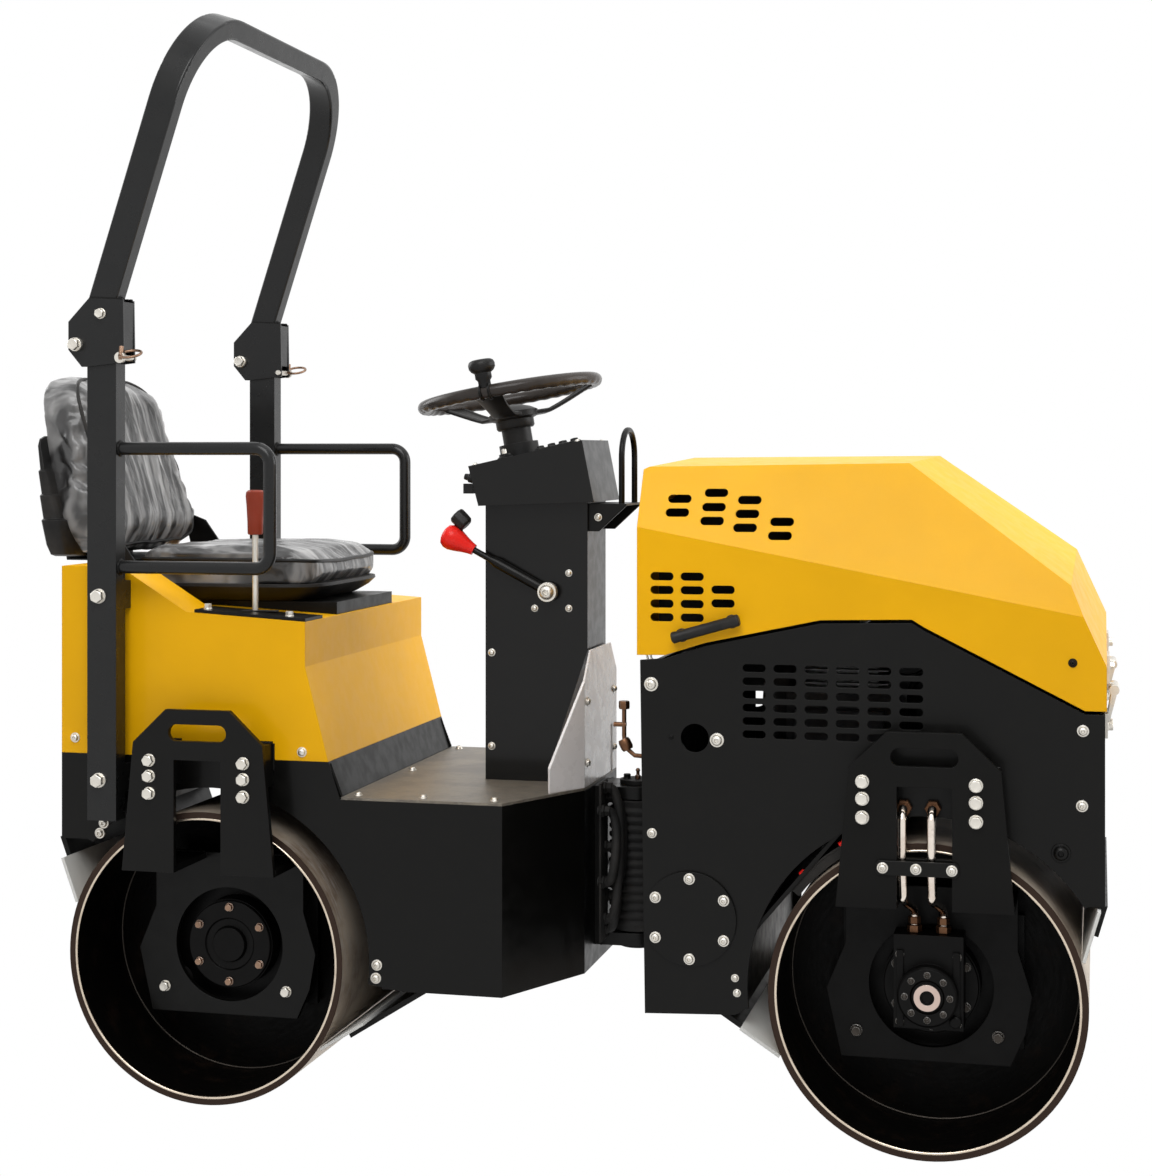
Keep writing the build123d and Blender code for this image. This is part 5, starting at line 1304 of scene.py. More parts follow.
# --- operator's place
@dataclass
class Console(Fitment):
    """The dashboard's instruments, the levers' knobs and the column's fasteners.

    Attributes:
        low: (x, z) of the sloping top's rear edge, x from the rear axle.
        high: (x, z) of its front edge.
        side_y: the column's right face.
    """

    low: Pair = (0.444, 1.221)
    high: Pair = (0.677, 1.273)
    side_y: float = -0.08

    def _at(self, share: float, y: float, lift: float = 0.0) -> tuple[Point, Point]:
        """A place on the dashboard's sloping top and the direction it faces.

        Args:
            share: 0 at its rear edge and 1 at its front edge.
            y: across the machine.
            lift: height above the face.

        Returns:
            The place and the facing direction.
        """
        run = Vector((self.high[0] - self.low[0], 0, self.high[1] - self.low[1]))
        up = Vector((-run.z, 0, run.x)).normalized()
        start = Vector((rear(self.low[0]), y, self.low[1]))
        return tuple(start + run * share + up * lift), tuple(up)

    def build(self) -> None:
        """Adds the pieces to the rear frame."""
        bolts = [Bolt((rear(0.483), self.side_y, z), OUTWARD, 0.012, Head.DOME) for z in (0.848, 0.661)]
        bolts += [Bolt((rear(x), self.side_y, z), OUTWARD, 0.011, Head.DOME)
                  for x, z in ((0.642, 1.009), (0.572, 0.938), (0.642, 0.939))]
        bolts += [Bolt((rear(0.7), -0.072, 1.12), OUTWARD, 0.012, Head.DOME)]
        bolts += [Bolt(self._at(share, y)[0], self._at(share, y)[1], 0.009, Head.DOME)
                  for share in (0.05, 0.95) for y in (-0.104,)]
        bolts += [Bolt((rear(0.689), -0.118, z), (1, 0, 0), 0.013, Head.DOME) for z in (0.64, 0.76)]
        right_only = [Bolt((rear(0.603), -0.102, 0.972), OUTWARD, 0.03, Head.DOME)]
        self.heads.fit("console_bolts", both(bolts) + right_only, "rear_frame", ZINC, 11)
        self._instruments()
        self._knobs()

    def _instruments(self) -> None:
        """The hour gauge, key switch, rocker switches and push buttons on the dashboard."""
        panel, glass, rim, key = Shape(), Shape(), Shape(), self._at(0.28, -0.07, 0.009)
        rim.lathe([(0, 0), (0.005, 0), (0.005, 0.01), (0.002, 0.012), (0, 0.012)], *key, 14)
        for share, y, radius in ((0.3, 0.068, 0.026), (0.62, 0.075, 0.018)):
            panel.lathe([(radius + 0.004, -0.001), (radius + 0.004, 0.004), (radius, 0.007),
                         (radius - 0.003, 0.007), (radius - 0.003, 0.003), (0, 0.003)],
                        *self._at(share, y), 40)
            glass.lathe([(radius - 0.003, 0), (radius * 0.7 - 0.0021, 0.0022), (0, 0.003)],
                        *self._at(share, y, 0.003), 40)
            rim.lathe([(radius + 0.0055, -0.001), (radius + 0.0055, 0.002), (radius + 0.0025, 0.0045),
                       (radius + 0.002, 0)], *self._at(share, y), 40)
        panel.lathe([(0.017, -0.001), (0.017, 0.003), (0.012, 0.006), (0.012, 0.01), (0.006, 0.01),
                     (0.006, 0.008), (0, 0.008)], *self._at(0.28, -0.07), 28)
        for row in range(4):
            panel.lathe([(0.014, -0.001), (0.014, 0.003), (0.011, 0.005), (0.009, 0.004), (0.008, 0.009),
                         (0, 0.01)], *self._at(0.6 + 0.1 * row, -0.078), 4 if row % 2 else 24)
        panel.block((rear(0.428), -0.096, 1.166), (rear(0.449), -0.082, 1.186))
        panel.lathe([(0.01, 0), (0.01, 0.01), (0.007, 0.012), (0.006, 0.02), (0, 0.021)],
                    (rear(0.449), -0.089, 1.196), (-1, 0, 0.22), 20)
        panel.piece("dash_instruments", BLACK_PLASTIC, "rear_frame", bevel=0.001, angle=32)
        glass.piece("gauge_glasses", GLASS_DARK, "rear_frame", angle=60)
        rim.piece("gauge_rims", ZINC, "rear_frame", angle=30)

    def _knobs(self) -> None:
        """The travel lever with its red knob and the black lock knob above it."""
        tip, foot = Vector((rear(0.414), -0.102, 1.074)), Vector((rear(0.603), -0.09, 0.972))
        run = (tip - foot).normalized()
        lever = Shape().lathe([(0.0105, 0.01), (0.0105, 0.12), (0.0065, 0.135), (0.0062, 0.186)],
                              foot, run, 28)
        lever.lathe([(0, 0), (0.0195, 0), (0.0195, 0.018), (0.0165, 0.021), (0, 0.021)],
                    (foot.x, -0.0795, foot.z), OUTWARD, 32)
        side = Vector((rear(0.4265), -0.102, 1.1135))
        lever.tube([tip - run * 0.006, side], 0.0062, 16)
        made = lever.piece("travel_lever", BLACK, "rear_frame", bevel=0.0005, angle=35)
        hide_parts("control_levers")
        pear = [(0, -0.043), (0.011, -0.043), (0.0125, -0.035), (0.016, -0.023), (0.0215, -0.008),
                (0.0252, 0.005), (0.025, 0.015), (0.0205, 0.0235), (0.012, 0.0275), (0, 0.0285)]
        Shape().lathe(pear, tip, run, 36).piece("travel_knob", RED_PLASTIC, "rear_frame", angle=60)
        crown = [(0, -0.016), (0.012, -0.016), (0.0165, -0.012), (0.0175, 0.0), (0.0175, 0.013),
                 (0.015, 0.0165), (0, 0.0175)]
        Shape().lathe(crown, side, (-0.72, 0.0, 0.69), 8).piece(
            "lock_knob", BLACK_PLASTIC, "rear_frame", bevel=0.0012, angle=25)


@dataclass
class SteeringWheel:
    """The steering wheel with a gripped rim, dished spokes, hub cap and spinner knob.

    Attributes:
        centre: (x, z) of the rim's middle, x from the rear axle.
        radius: its outer radius.
        rim: the rim's own radius.
        tilt: how far it leans rearward, in degrees.
        dish: how far the hub lies below the rim.
    """

    centre: Pair = (0.499, 1.367)
    radius: float = 0.19
    rim: float = 0.0132
    tilt: float = 10.0
    dish: float = 0.056

    def _frame(self) -> Matrix:
        """The wheel's own frame: Z up its axis and X forward."""
        turn = Matrix.Rotation(radians(-self.tilt), 4, "Y")
        return Matrix.Translation((rear(self.centre[0]), 0, self.centre[1])) @ turn

    def build(self) -> None:
        """Adds the wheel in place of its plain CAD form."""
        frame_ = self._frame()
        wheel, hoop = Shape(), Shape()
        ring = self.radius - self.rim
        rings = []
        for a in turns(240):
            grip = 0.5 - 0.5 * cos(a * 40)
            row = []
            for b in turns(18):
                under = max(0.0, -sin(b)) ** 0.6 * grip
                size = self.rim * (1.0 - 0.1 * under)
                out = ring + size * cos(b)
                row.append(frame_ @ Vector((out * cos(a), out * sin(a), size * sin(b))))
            rings.append(hoop.ring(row))
        hoop.skin(rings, closed=True)
        hoop.piece("steering_rim", RIM_PLASTIC, "steering_wheel", angle=60)
        for angle in (270, 30, 150):
            self._spoke(wheel, frame_, radians(angle), ring)
        up = frame_.to_3x3() @ Vector(UPWARD)
        hub = frame_ @ Vector((0, 0, -self.dish - 0.016))
        wheel.lathe([(0, 0), (0.036, 0), (0.039, 0.004), (0.039, 0.018), (0.05, 0.022), (0.05, 0.034),
                     (0.036, 0.042), (0.018, 0.048), (0, 0.05)], hub, up, 48)
        made = wheel.piece("steering_wheel_grip", BLACK_PLASTIC, "steering_wheel", angle=42)
        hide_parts("steering_wheel")
        self._spinner(frame_, ring, up)
        boot = frame_ @ Vector((0, 0, -0.136))
        flare = [(0.0, 0.0), (0.034, 0.0), (0.033, 0.005), (0.026, 0.012), (0.0225, 0.022), (0.0215, 0.034),
                 (0.0215, 0.06), (0.0, 0.06)]
        Shape().lathe(flare, boot, up, 44).piece("column_boot", MOUNT_RUBBER, "rear_frame", angle=50)

    def _spoke(self, wheel: Shape, frame_: Matrix, angle: float, ring: float) -> None:
        """Adds one spoke: a flat arm that dips to the hub, thicker along its edges.

        Args:
            wheel: collects the geometry.
            frame_: the wheel's frame.
            angle: the spoke's direction.
            ring: the rim's middle radius.
        """
        steps, rows = 16, []
        section = [(-1.0, -0.2), (-1.0, 0.55), (-0.86, 0.9), (-0.7, 0.9), (-0.6, 0.35), (0.6, 0.35),
                   (0.7, 0.9), (0.86, 0.9), (1.0, 0.55), (1.0, -0.2), (0.85, -0.5), (-0.85, -0.5)]
        for i in range(steps + 1):
            t = i / steps
            along = 0.026 + (ring - 0.026) * t
            rise = max(0.0, (t - 0.3) / 0.7)
            dip = -self.dish + 0.01 + (self.dish - 0.013) * rise ** 1.15
            half = 0.03 - 0.007 * sin(pi * t)
            turn = frame_ @ Matrix.Rotation(angle, 4, "Z")
            rows.append(wheel.ring(turn @ Vector((along, a * half, dip + b * 0.0062)) for a, b in section))
        wheel.solid(rows)

    def _spinner(self, frame_: Matrix, ring: float, up: Point) -> None:
        """Adds the spinner knob and its clamp on the rim's right side.

        Args:
            frame_: the wheel's frame.
            ring: the rim's middle radius.
            up: the wheel's axis.
        """
        place = frame_ @ Vector((0, -ring, 0))
        knob = Shape().lathe([(0, 0.008), (0.012, 0.008), (0.0125, 0.022), (0.0165, 0.027), (0.0165, 0.037),
                              (0.0225, 0.0415), (0.0262, 0.0475), (0.0265, 0.055), (0.024, 0.061),
                              (0.019, 0.0635), (0, 0.064)], place, up, 40)
        knob.piece("spinner_knob", BLACK_PLASTIC, "steering_wheel", angle=50)
        clamp = Shape()
        turn = frame_.to_3x3()
        across = turn @ Vector((0, 1, 0))
        along = turn @ Vector((1, 0, 0))
        for shift in (-0.009, 0.009):
            clamp.tube([place + along * shift + 0.015 * (cos(a) * across + sin(a) * up)
                        for a in turns(28)], 0.0026, 8, closed=True)
        clamp.piece("spinner_clamp", BLACK, "steering_wheel", angle=60)


@dataclass
class BrakeLever:
    """The parking brake's bright rod, its tapered grip and the rubber lip at its slot.

    Attributes:
        x: its place from the rear axle.
        y: its place across the machine.
        foot: the height of the rod's foot.
        top: the height of the grip's top.
    """

    x: float = 0.064
    y: float = -0.292
    foot: float = 0.939
    top: float = 1.175

    def build(self) -> None:
        """Adds the lever in place of its plain CAD form."""
        base = (rear(self.x), self.y, 0.0)
        rod = Shape().tube([(base[0], self.y, self.foot), (base[0], self.y, 1.1)], 0.0058, 20)
        made = rod.piece("brake_rod", ZINC, "rear_frame", angle=40)
        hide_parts("brake_lever")
        profile = [(0, 1.088), (0.0135, 1.088), (0.015, 1.091), (0.0155, 1.115), (0.0172, 1.145),
                   (0.0188, 1.163), (0.018, 1.171), (0.0135, self.top), (0, self.top)]
        Shape().lathe(profile, base, UPWARD, 12).piece("brake_grip", GRIP_RUBBER, "rear_frame",
                                                         bevel=0.0012, angle=32)
        slot = Shape().block((base[0] - 0.046, self.y - 0.01, self.foot - 0.0004),
                             (base[0] + 0.046, self.y + 0.01, self.foot + 0.0016))
        slot.piece("brake_slot_lip", MOUNT_RUBBER, "rear_frame", bevel=0.0007)


# --- front frame
@dataclass
class FrontBody(Fitment):
    """The front frame's panel bolts, plugs, guards, drain cock, latch and hinge bolts.

    Attributes:
        half: half of the body's width.
        bulkhead_x: the rear face's place from the front axle.
    """

    half: float = 0.36
    bulkhead_x: float = -0.512

    def build(self) -> None:
        """Adds the pieces to the front frame."""
        rows = ((-0.5, 0.8242, 0.02), (-0.378, 0.7257, 0.02), (-0.4986, 0.5515, 0.014),
                (-0.3449, 0.295, 0.011), (-0.3413, 0.268, 0.011), (0.2695, 0.7623, 0.016),
                (0.2678, 0.6312, 0.016))
        bolts = [Bolt((front(x), -self.half, z), OUTWARD, size, Head.DOME) for x, z, size in rows]
        bolts += ring_of((front(-0.428), 0.399), -self.half - 0.006, 0.073, 6, 0.016, Head.DOME, 30)
        bolts += [Bolt((front(0.312), -0.235 + dy, 0.76), (1, 0, 0), 0.013) for dy in (-0.028, 0.028)]
        self.heads.fit("front_body_bolts", both(bolts), "front_frame", ZINC, 13)
        dark = [Bolt((front(0.232), -self.half, 0.5476), OUTWARD, 0.026, Head.DOME),
                Bolt((front(-0.463), -self.half, 0.7285), OUTWARD, 0.008, Head.DOME)]
        self.heads.fit("front_plugs", both(dark), "front_frame", BLACK, 14)
        self._drain_cock()
        self._latch()
        self._guards()

    def _drain_cock(self) -> None:
        """The bronze drain cock on a bent pipe behind the bulkhead."""
        x, y = front(self.bulkhead_x) - 0.052, -0.3
        cock = Shape().tube([(x, y, 0.772), (x, y, 0.72), (x + 0.001, y, 0.708), (x + 0.008, y, 0.694),
                             (x + 0.02, y, 0.684), (x + 0.053, y, 0.682)], 0.0042, 14)
        cock.lathe([(0, 0), (0.0095, 0), (0.0105, 0.003), (0.0105, 0.012), (0.0095, 0.015), (0, 0.015)],
                   (x, y, 0.77), UPWARD, 6)
        cock.tube([(x - 0.02, y, 0.741), (x + 0.004, y, 0.741)], 0.0044, 12)
        cock.lathe([(0, -0.011), (0.0095, -0.011), (0.0115, -0.006), (0.0115, 0.006), (0.0095, 0.011),
                    (0, 0.011)], (x + 0.003, y, 0.704), (0.5, 0, -1), 20)
        cock.lathe([(0, 0), (0.011, 0), (0.011, 0.01), (0.008, 0.012), (0, 0.012)],
                   (x + 0.052, y, 0.682), (-1, 0, 0), 6)
        cock.piece("drain_cock", DARK_BRONZE, "front_frame", angle=35)

    def _guards(self) -> None:
        """The panel behind the tie-down hole and the mud guard over the drum's rear half."""
        panel = Shape().block((front(-0.5), 0.262, 0.6205), (front(-0.405), 0.266, 0.83))
        panel.block((front(-0.5035), -0.12, 0.6205), (front(-0.5005), 0.262, 0.83))
        panel.piece("tank_panel", BLACK, "front_frame", bevel=0.001)
        guard, sweep, marks = Shape(), (98, 144), Shape()
        axle = (FRONT_AXLE_X, DRUM_RADIUS)
        inner, outer, lip = 0.3005, 0.3035, DRUM_RADIUS + 0.004
        sections = [((inner, -0.35), (outer, -0.35), (outer, 0.35), (inner, 0.35))]
        sections += [((lip, out * 0.346), (inner, out * 0.346), (inner, out * 0.349), (lip, out * 0.349))
                     for out in SIDES]
        for section in sections:
            edges = [arc(axle, y, radius, *sweep, 25) for radius, y in section]
            guard.solid([guard.ring(points) for points in zip(*edges)])
        guard.piece("drum_mud_guard", MOUNT_RUBBER, "front_frame", angle=40)
        for start, stop in ((114, 121), (136, 138)):
            for out in SIDES:
                marks.tube(arc(axle, out * 0.345, 0.306, start, stop, 8), 0.0052, 14)
        marks.piece("drum_side_markers", RED_PLASTIC, "front_frame", angle=60)

    def _latch(self) -> None:
        """The wire latch between the hood and the bulkhead's top."""
        x, y = front(self.bulkhead_x), -0.262
        wire = [(x + 0.001, y, 0.85), (x - 0.014, y, 0.858), (x - 0.02, y, 0.88), (x - 0.016, y, 0.897),
                (x - 0.016, y + 0.03, 0.897), (x - 0.02, y + 0.03, 0.88), (x - 0.014, y + 0.03, 0.858),
                (x + 0.001, y + 0.03, 0.85)]
        latch = Shape().tube(wire, 0.0022, 10)
        latch.block((x - 0.006, y - 0.008, 0.832), (x + 0.001, y + 0.038, 0.856))
        latch.piece("hood_latch", ZINC, "front_frame", angle=40)


@dataclass
class Engine:
    """The air-cooled engine under the hood, with its tank, filters and pump.

    Attributes:
        fins: how many cooling fins its cylinder has.
    """

    fins: int = 11

    def __post_init__(self) -> None:
        """Takes the engine's place and size from the CAD."""
        self.low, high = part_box("engine_block")
        self.size = high - self.low

    def build(self) -> None:
        """Adds the engine in place of its plain CAD form."""
        self._crankcase()
        self._barrel()
        self._tank()
        self._filters()
        self._exhaust()
        self._pump()

    def _crankcase(self) -> None:
        """The crankcase on its rails, with side cover, valve cover and recoil starter."""
        case = Shape()
        for y in (0.14, 0.76):
            self._box(case, (0.03, y, 0.0), (0.97, y + 0.1, 0.07))
        for low, high in (((0.22, 0.16, 0.07), (0.8, 0.84, 0.13)), ((0.26, 0.22, 0.13), (0.76, 0.78, 0.46)),
                          ((0.3, 0.16, 0.18), (0.7, 0.84, 0.38))):
            self._box(case, low, high)
        self._turned(case, (0.5, 0.84, 0.28), (0, 1, 0), [
            (0, 0), (0.075, 0), (0.075, 0.018), (0.06, 0.026), (0.03, 0.028), (0, 0.028)])
        self._box(case, (0.34, 0.32, 0.72), (0.7, 0.68, 0.765))
        self._turned(case, (0.22, 0.5, 0.34), (-1, 0, 0), [
            (0, -0.02), (0.095, -0.02), (0.11, 0), (0.11, 0.018), (0.098, 0.03), (0.04, 0.034),
            (0.036, 0.04), (0, 0.04)])
        made = case.piece("engine_case", ENGINE_IRON, "front_frame", bevel=0.003, angle=32)
        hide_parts("engine_block")

    def _barrel(self) -> None:
        """The finned cylinder."""
        barrel = Shape()
        self._box(barrel, (0.38, 0.36, 0.46), (0.66, 0.64, 0.72))
        for i in range(self.fins):
            z = 0.475 + 0.235 * i / (self.fins - 1)
            self._box(barrel, (0.33, 0.29, z), (0.71, 0.71, z + 0.009))
        barrel.piece("engine_fins", ALLOY, "front_frame", bevel=0.0008)

    def _tank(self) -> None:
        """The fuel tank over the engine, on its two brackets."""
        tank = Shape()
        self._box(tank, (0.06, 0.08, 0.8), (0.6, 0.92, 0.97))
        for x in (0.1, 0.52):
            self._box(tank, (x, 0.2, 0.765), (x + 0.04, 0.8, 0.81))
        tank.piece("fuel_tank", BLACK, "front_frame", bevel=0.014, angle=30)

    def _filters(self) -> None:
        """The tank's cap, the air filter and the oil filter."""
        small = Shape()
        self._turned(small, (0.2, 0.28, 0.965), UPWARD, [
            (0, 0), (0.026, 0), (0.028, 0.003), (0.028, 0.009), (0.024, 0.0098), (0, 0.0098)])
        self._turned(small, (0.8, 0.16, 0.72), (0, 1, 0), [
            (0, 0), (0.052, 0), (0.055, 0.006), (0.055, 0.04), (0.05, 0.044), (0.05, 0.1),
            (0.055, 0.104), (0.055, 0.11), (0, 0.112)])
        self._turned(small, (0.88, 0.3, 0.24), UPWARD, [
            (0, 0), (0.034, 0), (0.036, 0.004), (0.036, 0.07), (0.03, 0.078), (0, 0.08)])
        small.piece("engine_filters", BLACK_PLASTIC, "front_frame", angle=35)

    def _exhaust(self) -> None:
        """The exhaust pipe with its can, and the sheets that guide the cooling air."""
        pipe = Shape().tube([self._at(x, y, 0.6) for x, y in ((0.58, 0.66), (0.62, 0.78), (0.7, 0.82),
                                                               (0.8, 0.82), (0.9, 0.8))], 0.014, 18)
        self._turned(pipe, (0.76, 0.6, 0.6), (0, 1, 0), [
            (0, 0), (0.04, 0), (0.044, 0.005), (0.044, 0.095), (0.04, 0.1), (0, 0.1)])
        pipe.piece("exhaust_can", ALLOY, "front_frame", angle=40)
        guide = Shape()
        for start, stop in ((-0.2, 0.33), (0.71, 1.04)):
            self._box(guide, (start, 0.498, 0.44), (stop, 0.502, 0.79))
            self._box(guide, (start, 0.47, 0.44), (stop, 0.502, 0.443))
        guide.piece("engine_air_guides", BLACK, "front_frame")

    def _pump(self) -> None:
        """The hydraulic pump on the engine's end, with its two hoses."""
        pump = Shape()
        self._box(pump, (0.76, 0.38, 0.18), (0.84, 0.62, 0.4))
        self._turned(pump, (0.84, 0.5, 0.29), (1, 0, 0), [
            (0, 0), (0.04, 0), (0.04, 0.018), (0.028, 0.022), (0.028, 0.036), (0, 0.038)])
        for y in (0.42, 0.58):
            pump.tube([self._at(x, y, z) for x, z in ((0.8, 0.39), (0.8, 0.47), (0.82, 0.52), (0.88, 0.53),
                                                      (0.955, 0.5), (0.955, 0.12))], 0.0075, 14)
        pump.piece("hydraulic_pump", CAST_BLACK, "front_frame", bevel=0.002, angle=35)

    def _at(self, x: float, y: float, z: float) -> Point:
        """A place inside the engine's box."""
        return tuple(self.low[i] + self.size[i] * share for i, share in enumerate((x, y, z)))

    def _box(self, shape: Shape, low: Point, high: Point) -> None:
        """Adds a block given in shares of the engine's box."""
        shape.block(self._at(*low), self._at(*high))

    def _turned(self, shape: Shape, place: Point, aim: Point, profile: list[Pair]) -> None:
        """Adds a turned part at a place given in shares of the engine's box."""
        shape.lathe(profile, self._at(*place), aim, 40)


@dataclass
class Hood(Fitment):
    """The hood's near-black inner sheets as painted shade, grip ends, plugs and hinge bolts.

    Attributes:
        half: half of the hood's width.
    """

    half: float = 0.36

    def build(self) -> None:
        """Adds the pieces to the hood's body."""
        bolts = [Bolt((front(0.315), -0.235 + dy, 0.868), (1, 0, 0), 0.012) for dy in (-0.026, 0.026)]
        self.heads.fit("hood_bolts", both(bolts), "hood", ZINC, 17)
        plug = [Bolt((front(0.252), -self.half, 0.8806), OUTWARD, 0.012, Head.DOME)]
        self.heads.fit("hood_plugs", both(plug), "hood", BLACK, 18)
        # Near-black rough sheets inside the hood, inboard of its sides: painted shade that keeps the slots
        # dark.
        outline = [(front(x), z) for x, z in ((-0.512, 0.875), (0.02, 0.96), (0.045, 1.15),
                                              (-0.06, 1.19), (-0.44, 1.19), (-0.512, 1.15))]
        shade_sheets = Shape()
        for y in (0.2, -0.212):
            shade_sheets.slab(outline if y > 0 else [(front(-0.512), 1.05), (front(0.02), 1.05)] + outline[2:],
                        "y", y, y + 0.012)
        for out in SIDES:
            y = out * 0.262
            shade_sheets.slab([(front(-0.505), 0.89), (front(-0.27), 0.93), (front(-0.27), 1.06),
                         (front(-0.505), 1.06)], "y", y - 0.005, y + 0.005)
        shade_sheets.piece("hood_lining", SHADE_SHEET_BLACK, "hood", bevel=0.002)
        ends = Shape()
        start, stop = Vector((front(-0.457), -0.377, 0.911)), Vector((front(-0.336), -0.377, 0.946))
        run = stop - start
        grip = [(0, -0.0015), (0.0085, -0.0015), (0.0108, 0.001), (0.0108, 0.006), (0.0102, 0.008)]
        back = [(r, run.length - a) for r, a in reversed(grip)]
        ends.lathe(grip + back, start, run.normalized(), 28)
        for share in (0.12, 0.88):
            place = start + run * share
            ends.lathe([(0.0125, 0), (0.0125, 0.003), (0.009, 0.006), (0.006, 0.007)],
                       (place.x, -0.36, place.z), OUTWARD, 24)
        ends.piece("hood_grip", BLACK_PLASTIC, "hood", angle=40)


@dataclass
class Hitch(Fitment):
    """The hitch's gaiter, hoses and grease nipple, and its cylinder's ports and gland.

    Attributes:
        pin_x: the hitch pin's place from the rear axle.
    """

    pin_x: float = 0.765

    def build(self) -> None:
        """Adds the pieces to their bodies."""
        x = rear(self.pin_x)
        self.heads.fit("hitch_bolts", [Bolt((x + dx, dy, 0.594), UPWARD, 0.013)
                                   for dx, dy in ((0.022, 0), (-0.022, 0))], "rear_frame", BLACK, 19)
        self._hoses(x)
        nipple = Shape().lathe([(0, 0), (0.006, 0), (0.006, 0.006), (0.0035, 0.008), (0.0035, 0.014),
                                (0.005, 0.017), (0.0025, 0.021), (0, 0.021)], (x, 0, 0.594), UPWARD, 12)
        nipple.piece("grease_nipple", DARK_BRONZE, "rear_frame", angle=35)
        folds = [(0.0465, 0.299), (0.056, 0.299), (0.056, 0.306)]
        for i in range(14):
            z = 0.31 + 0.0172 * i
            folds += [(0.0575, z), (0.0575, z + 0.004), (0.0505, z + 0.0086), (0.0505, z + 0.0106)]
        folds += [(0.056, 0.552), (0.056, 0.557), (0.0465, 0.557)]
        Shape().lathe(folds, (x, 0, 0), UPWARD, 56).piece("pivot_gaiter", MOUNT_RUBBER, "hitch_yoke",
                                                            angle=60)
        barrel = Shape()
        start, run = Vector((rear(0.4), 0.118, 0.4)), Vector((0.375, 0.012, 0)).normalized()
        for along in (0.052, 0.236):
            place = start + run * along
            barrel.lathe([(0, 0.018), (0.0085, 0.018), (0.0085, 0.032), (0.011, 0.033), (0.011, 0.042),
                          (0.008, 0.044), (0, 0.044)], place, UPWARD, 6)
        barrel.piece("barrel_ports", ZINC, "steering_barrel", angle=35)
        gland = Shape().lathe([(0.0128, 0), (0.0245, 0), (0.0262, 0.003), (0.0262, 0.016), (0.0235, 0.02),
                               (0.0128, 0.02)], start + run * 0.246, run, 32)
        gland.piece("barrel_gland", BLACK, "steering_barrel", angle=35)

    @staticmethod
    def _hoses(x: float) -> None:
        """The hydraulic hoses that loop past the joint and back to the rear frame's nose, and a near-black
        sheet on the nose as painted shade.

        Args:
            x: the pin's place.
        """
        hoses, ends = Shape(), Shape()
        nose = x - 0.0535
        for y, top, low, out in ((-0.07, 0.566, 0.372, 0.026), (-0.088, 0.588, 0.33, 0.024),
                                 (-0.105, 0.545, 0.405, 0.02), (-0.08, 0.47, 0.31, 0.018)):
            points, middle, half = [(nose - 0.004, y, top)], (top + low) / 2, (top - low) / 2
            for i in range(25):
                a = pi * i / 24
                points.append((nose + 0.012 + out * sin(a) ** 0.7,
                               y + 0.01 * sin(2 * a), middle + half * cos(a)))
            points.append((nose - 0.004, y, low))
            hoses.tube(points, 0.0088, 16)
            for z in (top, low):
                ends.lathe([(0, 0), (0.0125, 0), (0.0135, 0.0015), (0.0135, 0.01), (0.0108, 0.012),
                            (0.0108, 0.022), (0.009, 0.022)], (nose - 0.001, y, z), (1, 0, 0), 6)
        # A thin near-black, very rough sheet over the rear frame's nose behind the hoses: painted shade
        # where the hoses shade the nose.
        shade_sheet = Shape().block((nose + 0.0008, -0.118, 0.288), (nose + 0.0048, -0.0565, 0.6))
        shade_sheet.piece("nose_mat", SHADE_SHEET_BLACK, "rear_frame", bevel=0.0006, slot="mount_rubber")
        hoses.piece("hitch_hoses", MOUNT_RUBBER, "rear_frame", angle=60)
        ends.piece("hitch_hose_ends", CAST_BLACK, "rear_frame", angle=30, slot="zinc_steel")


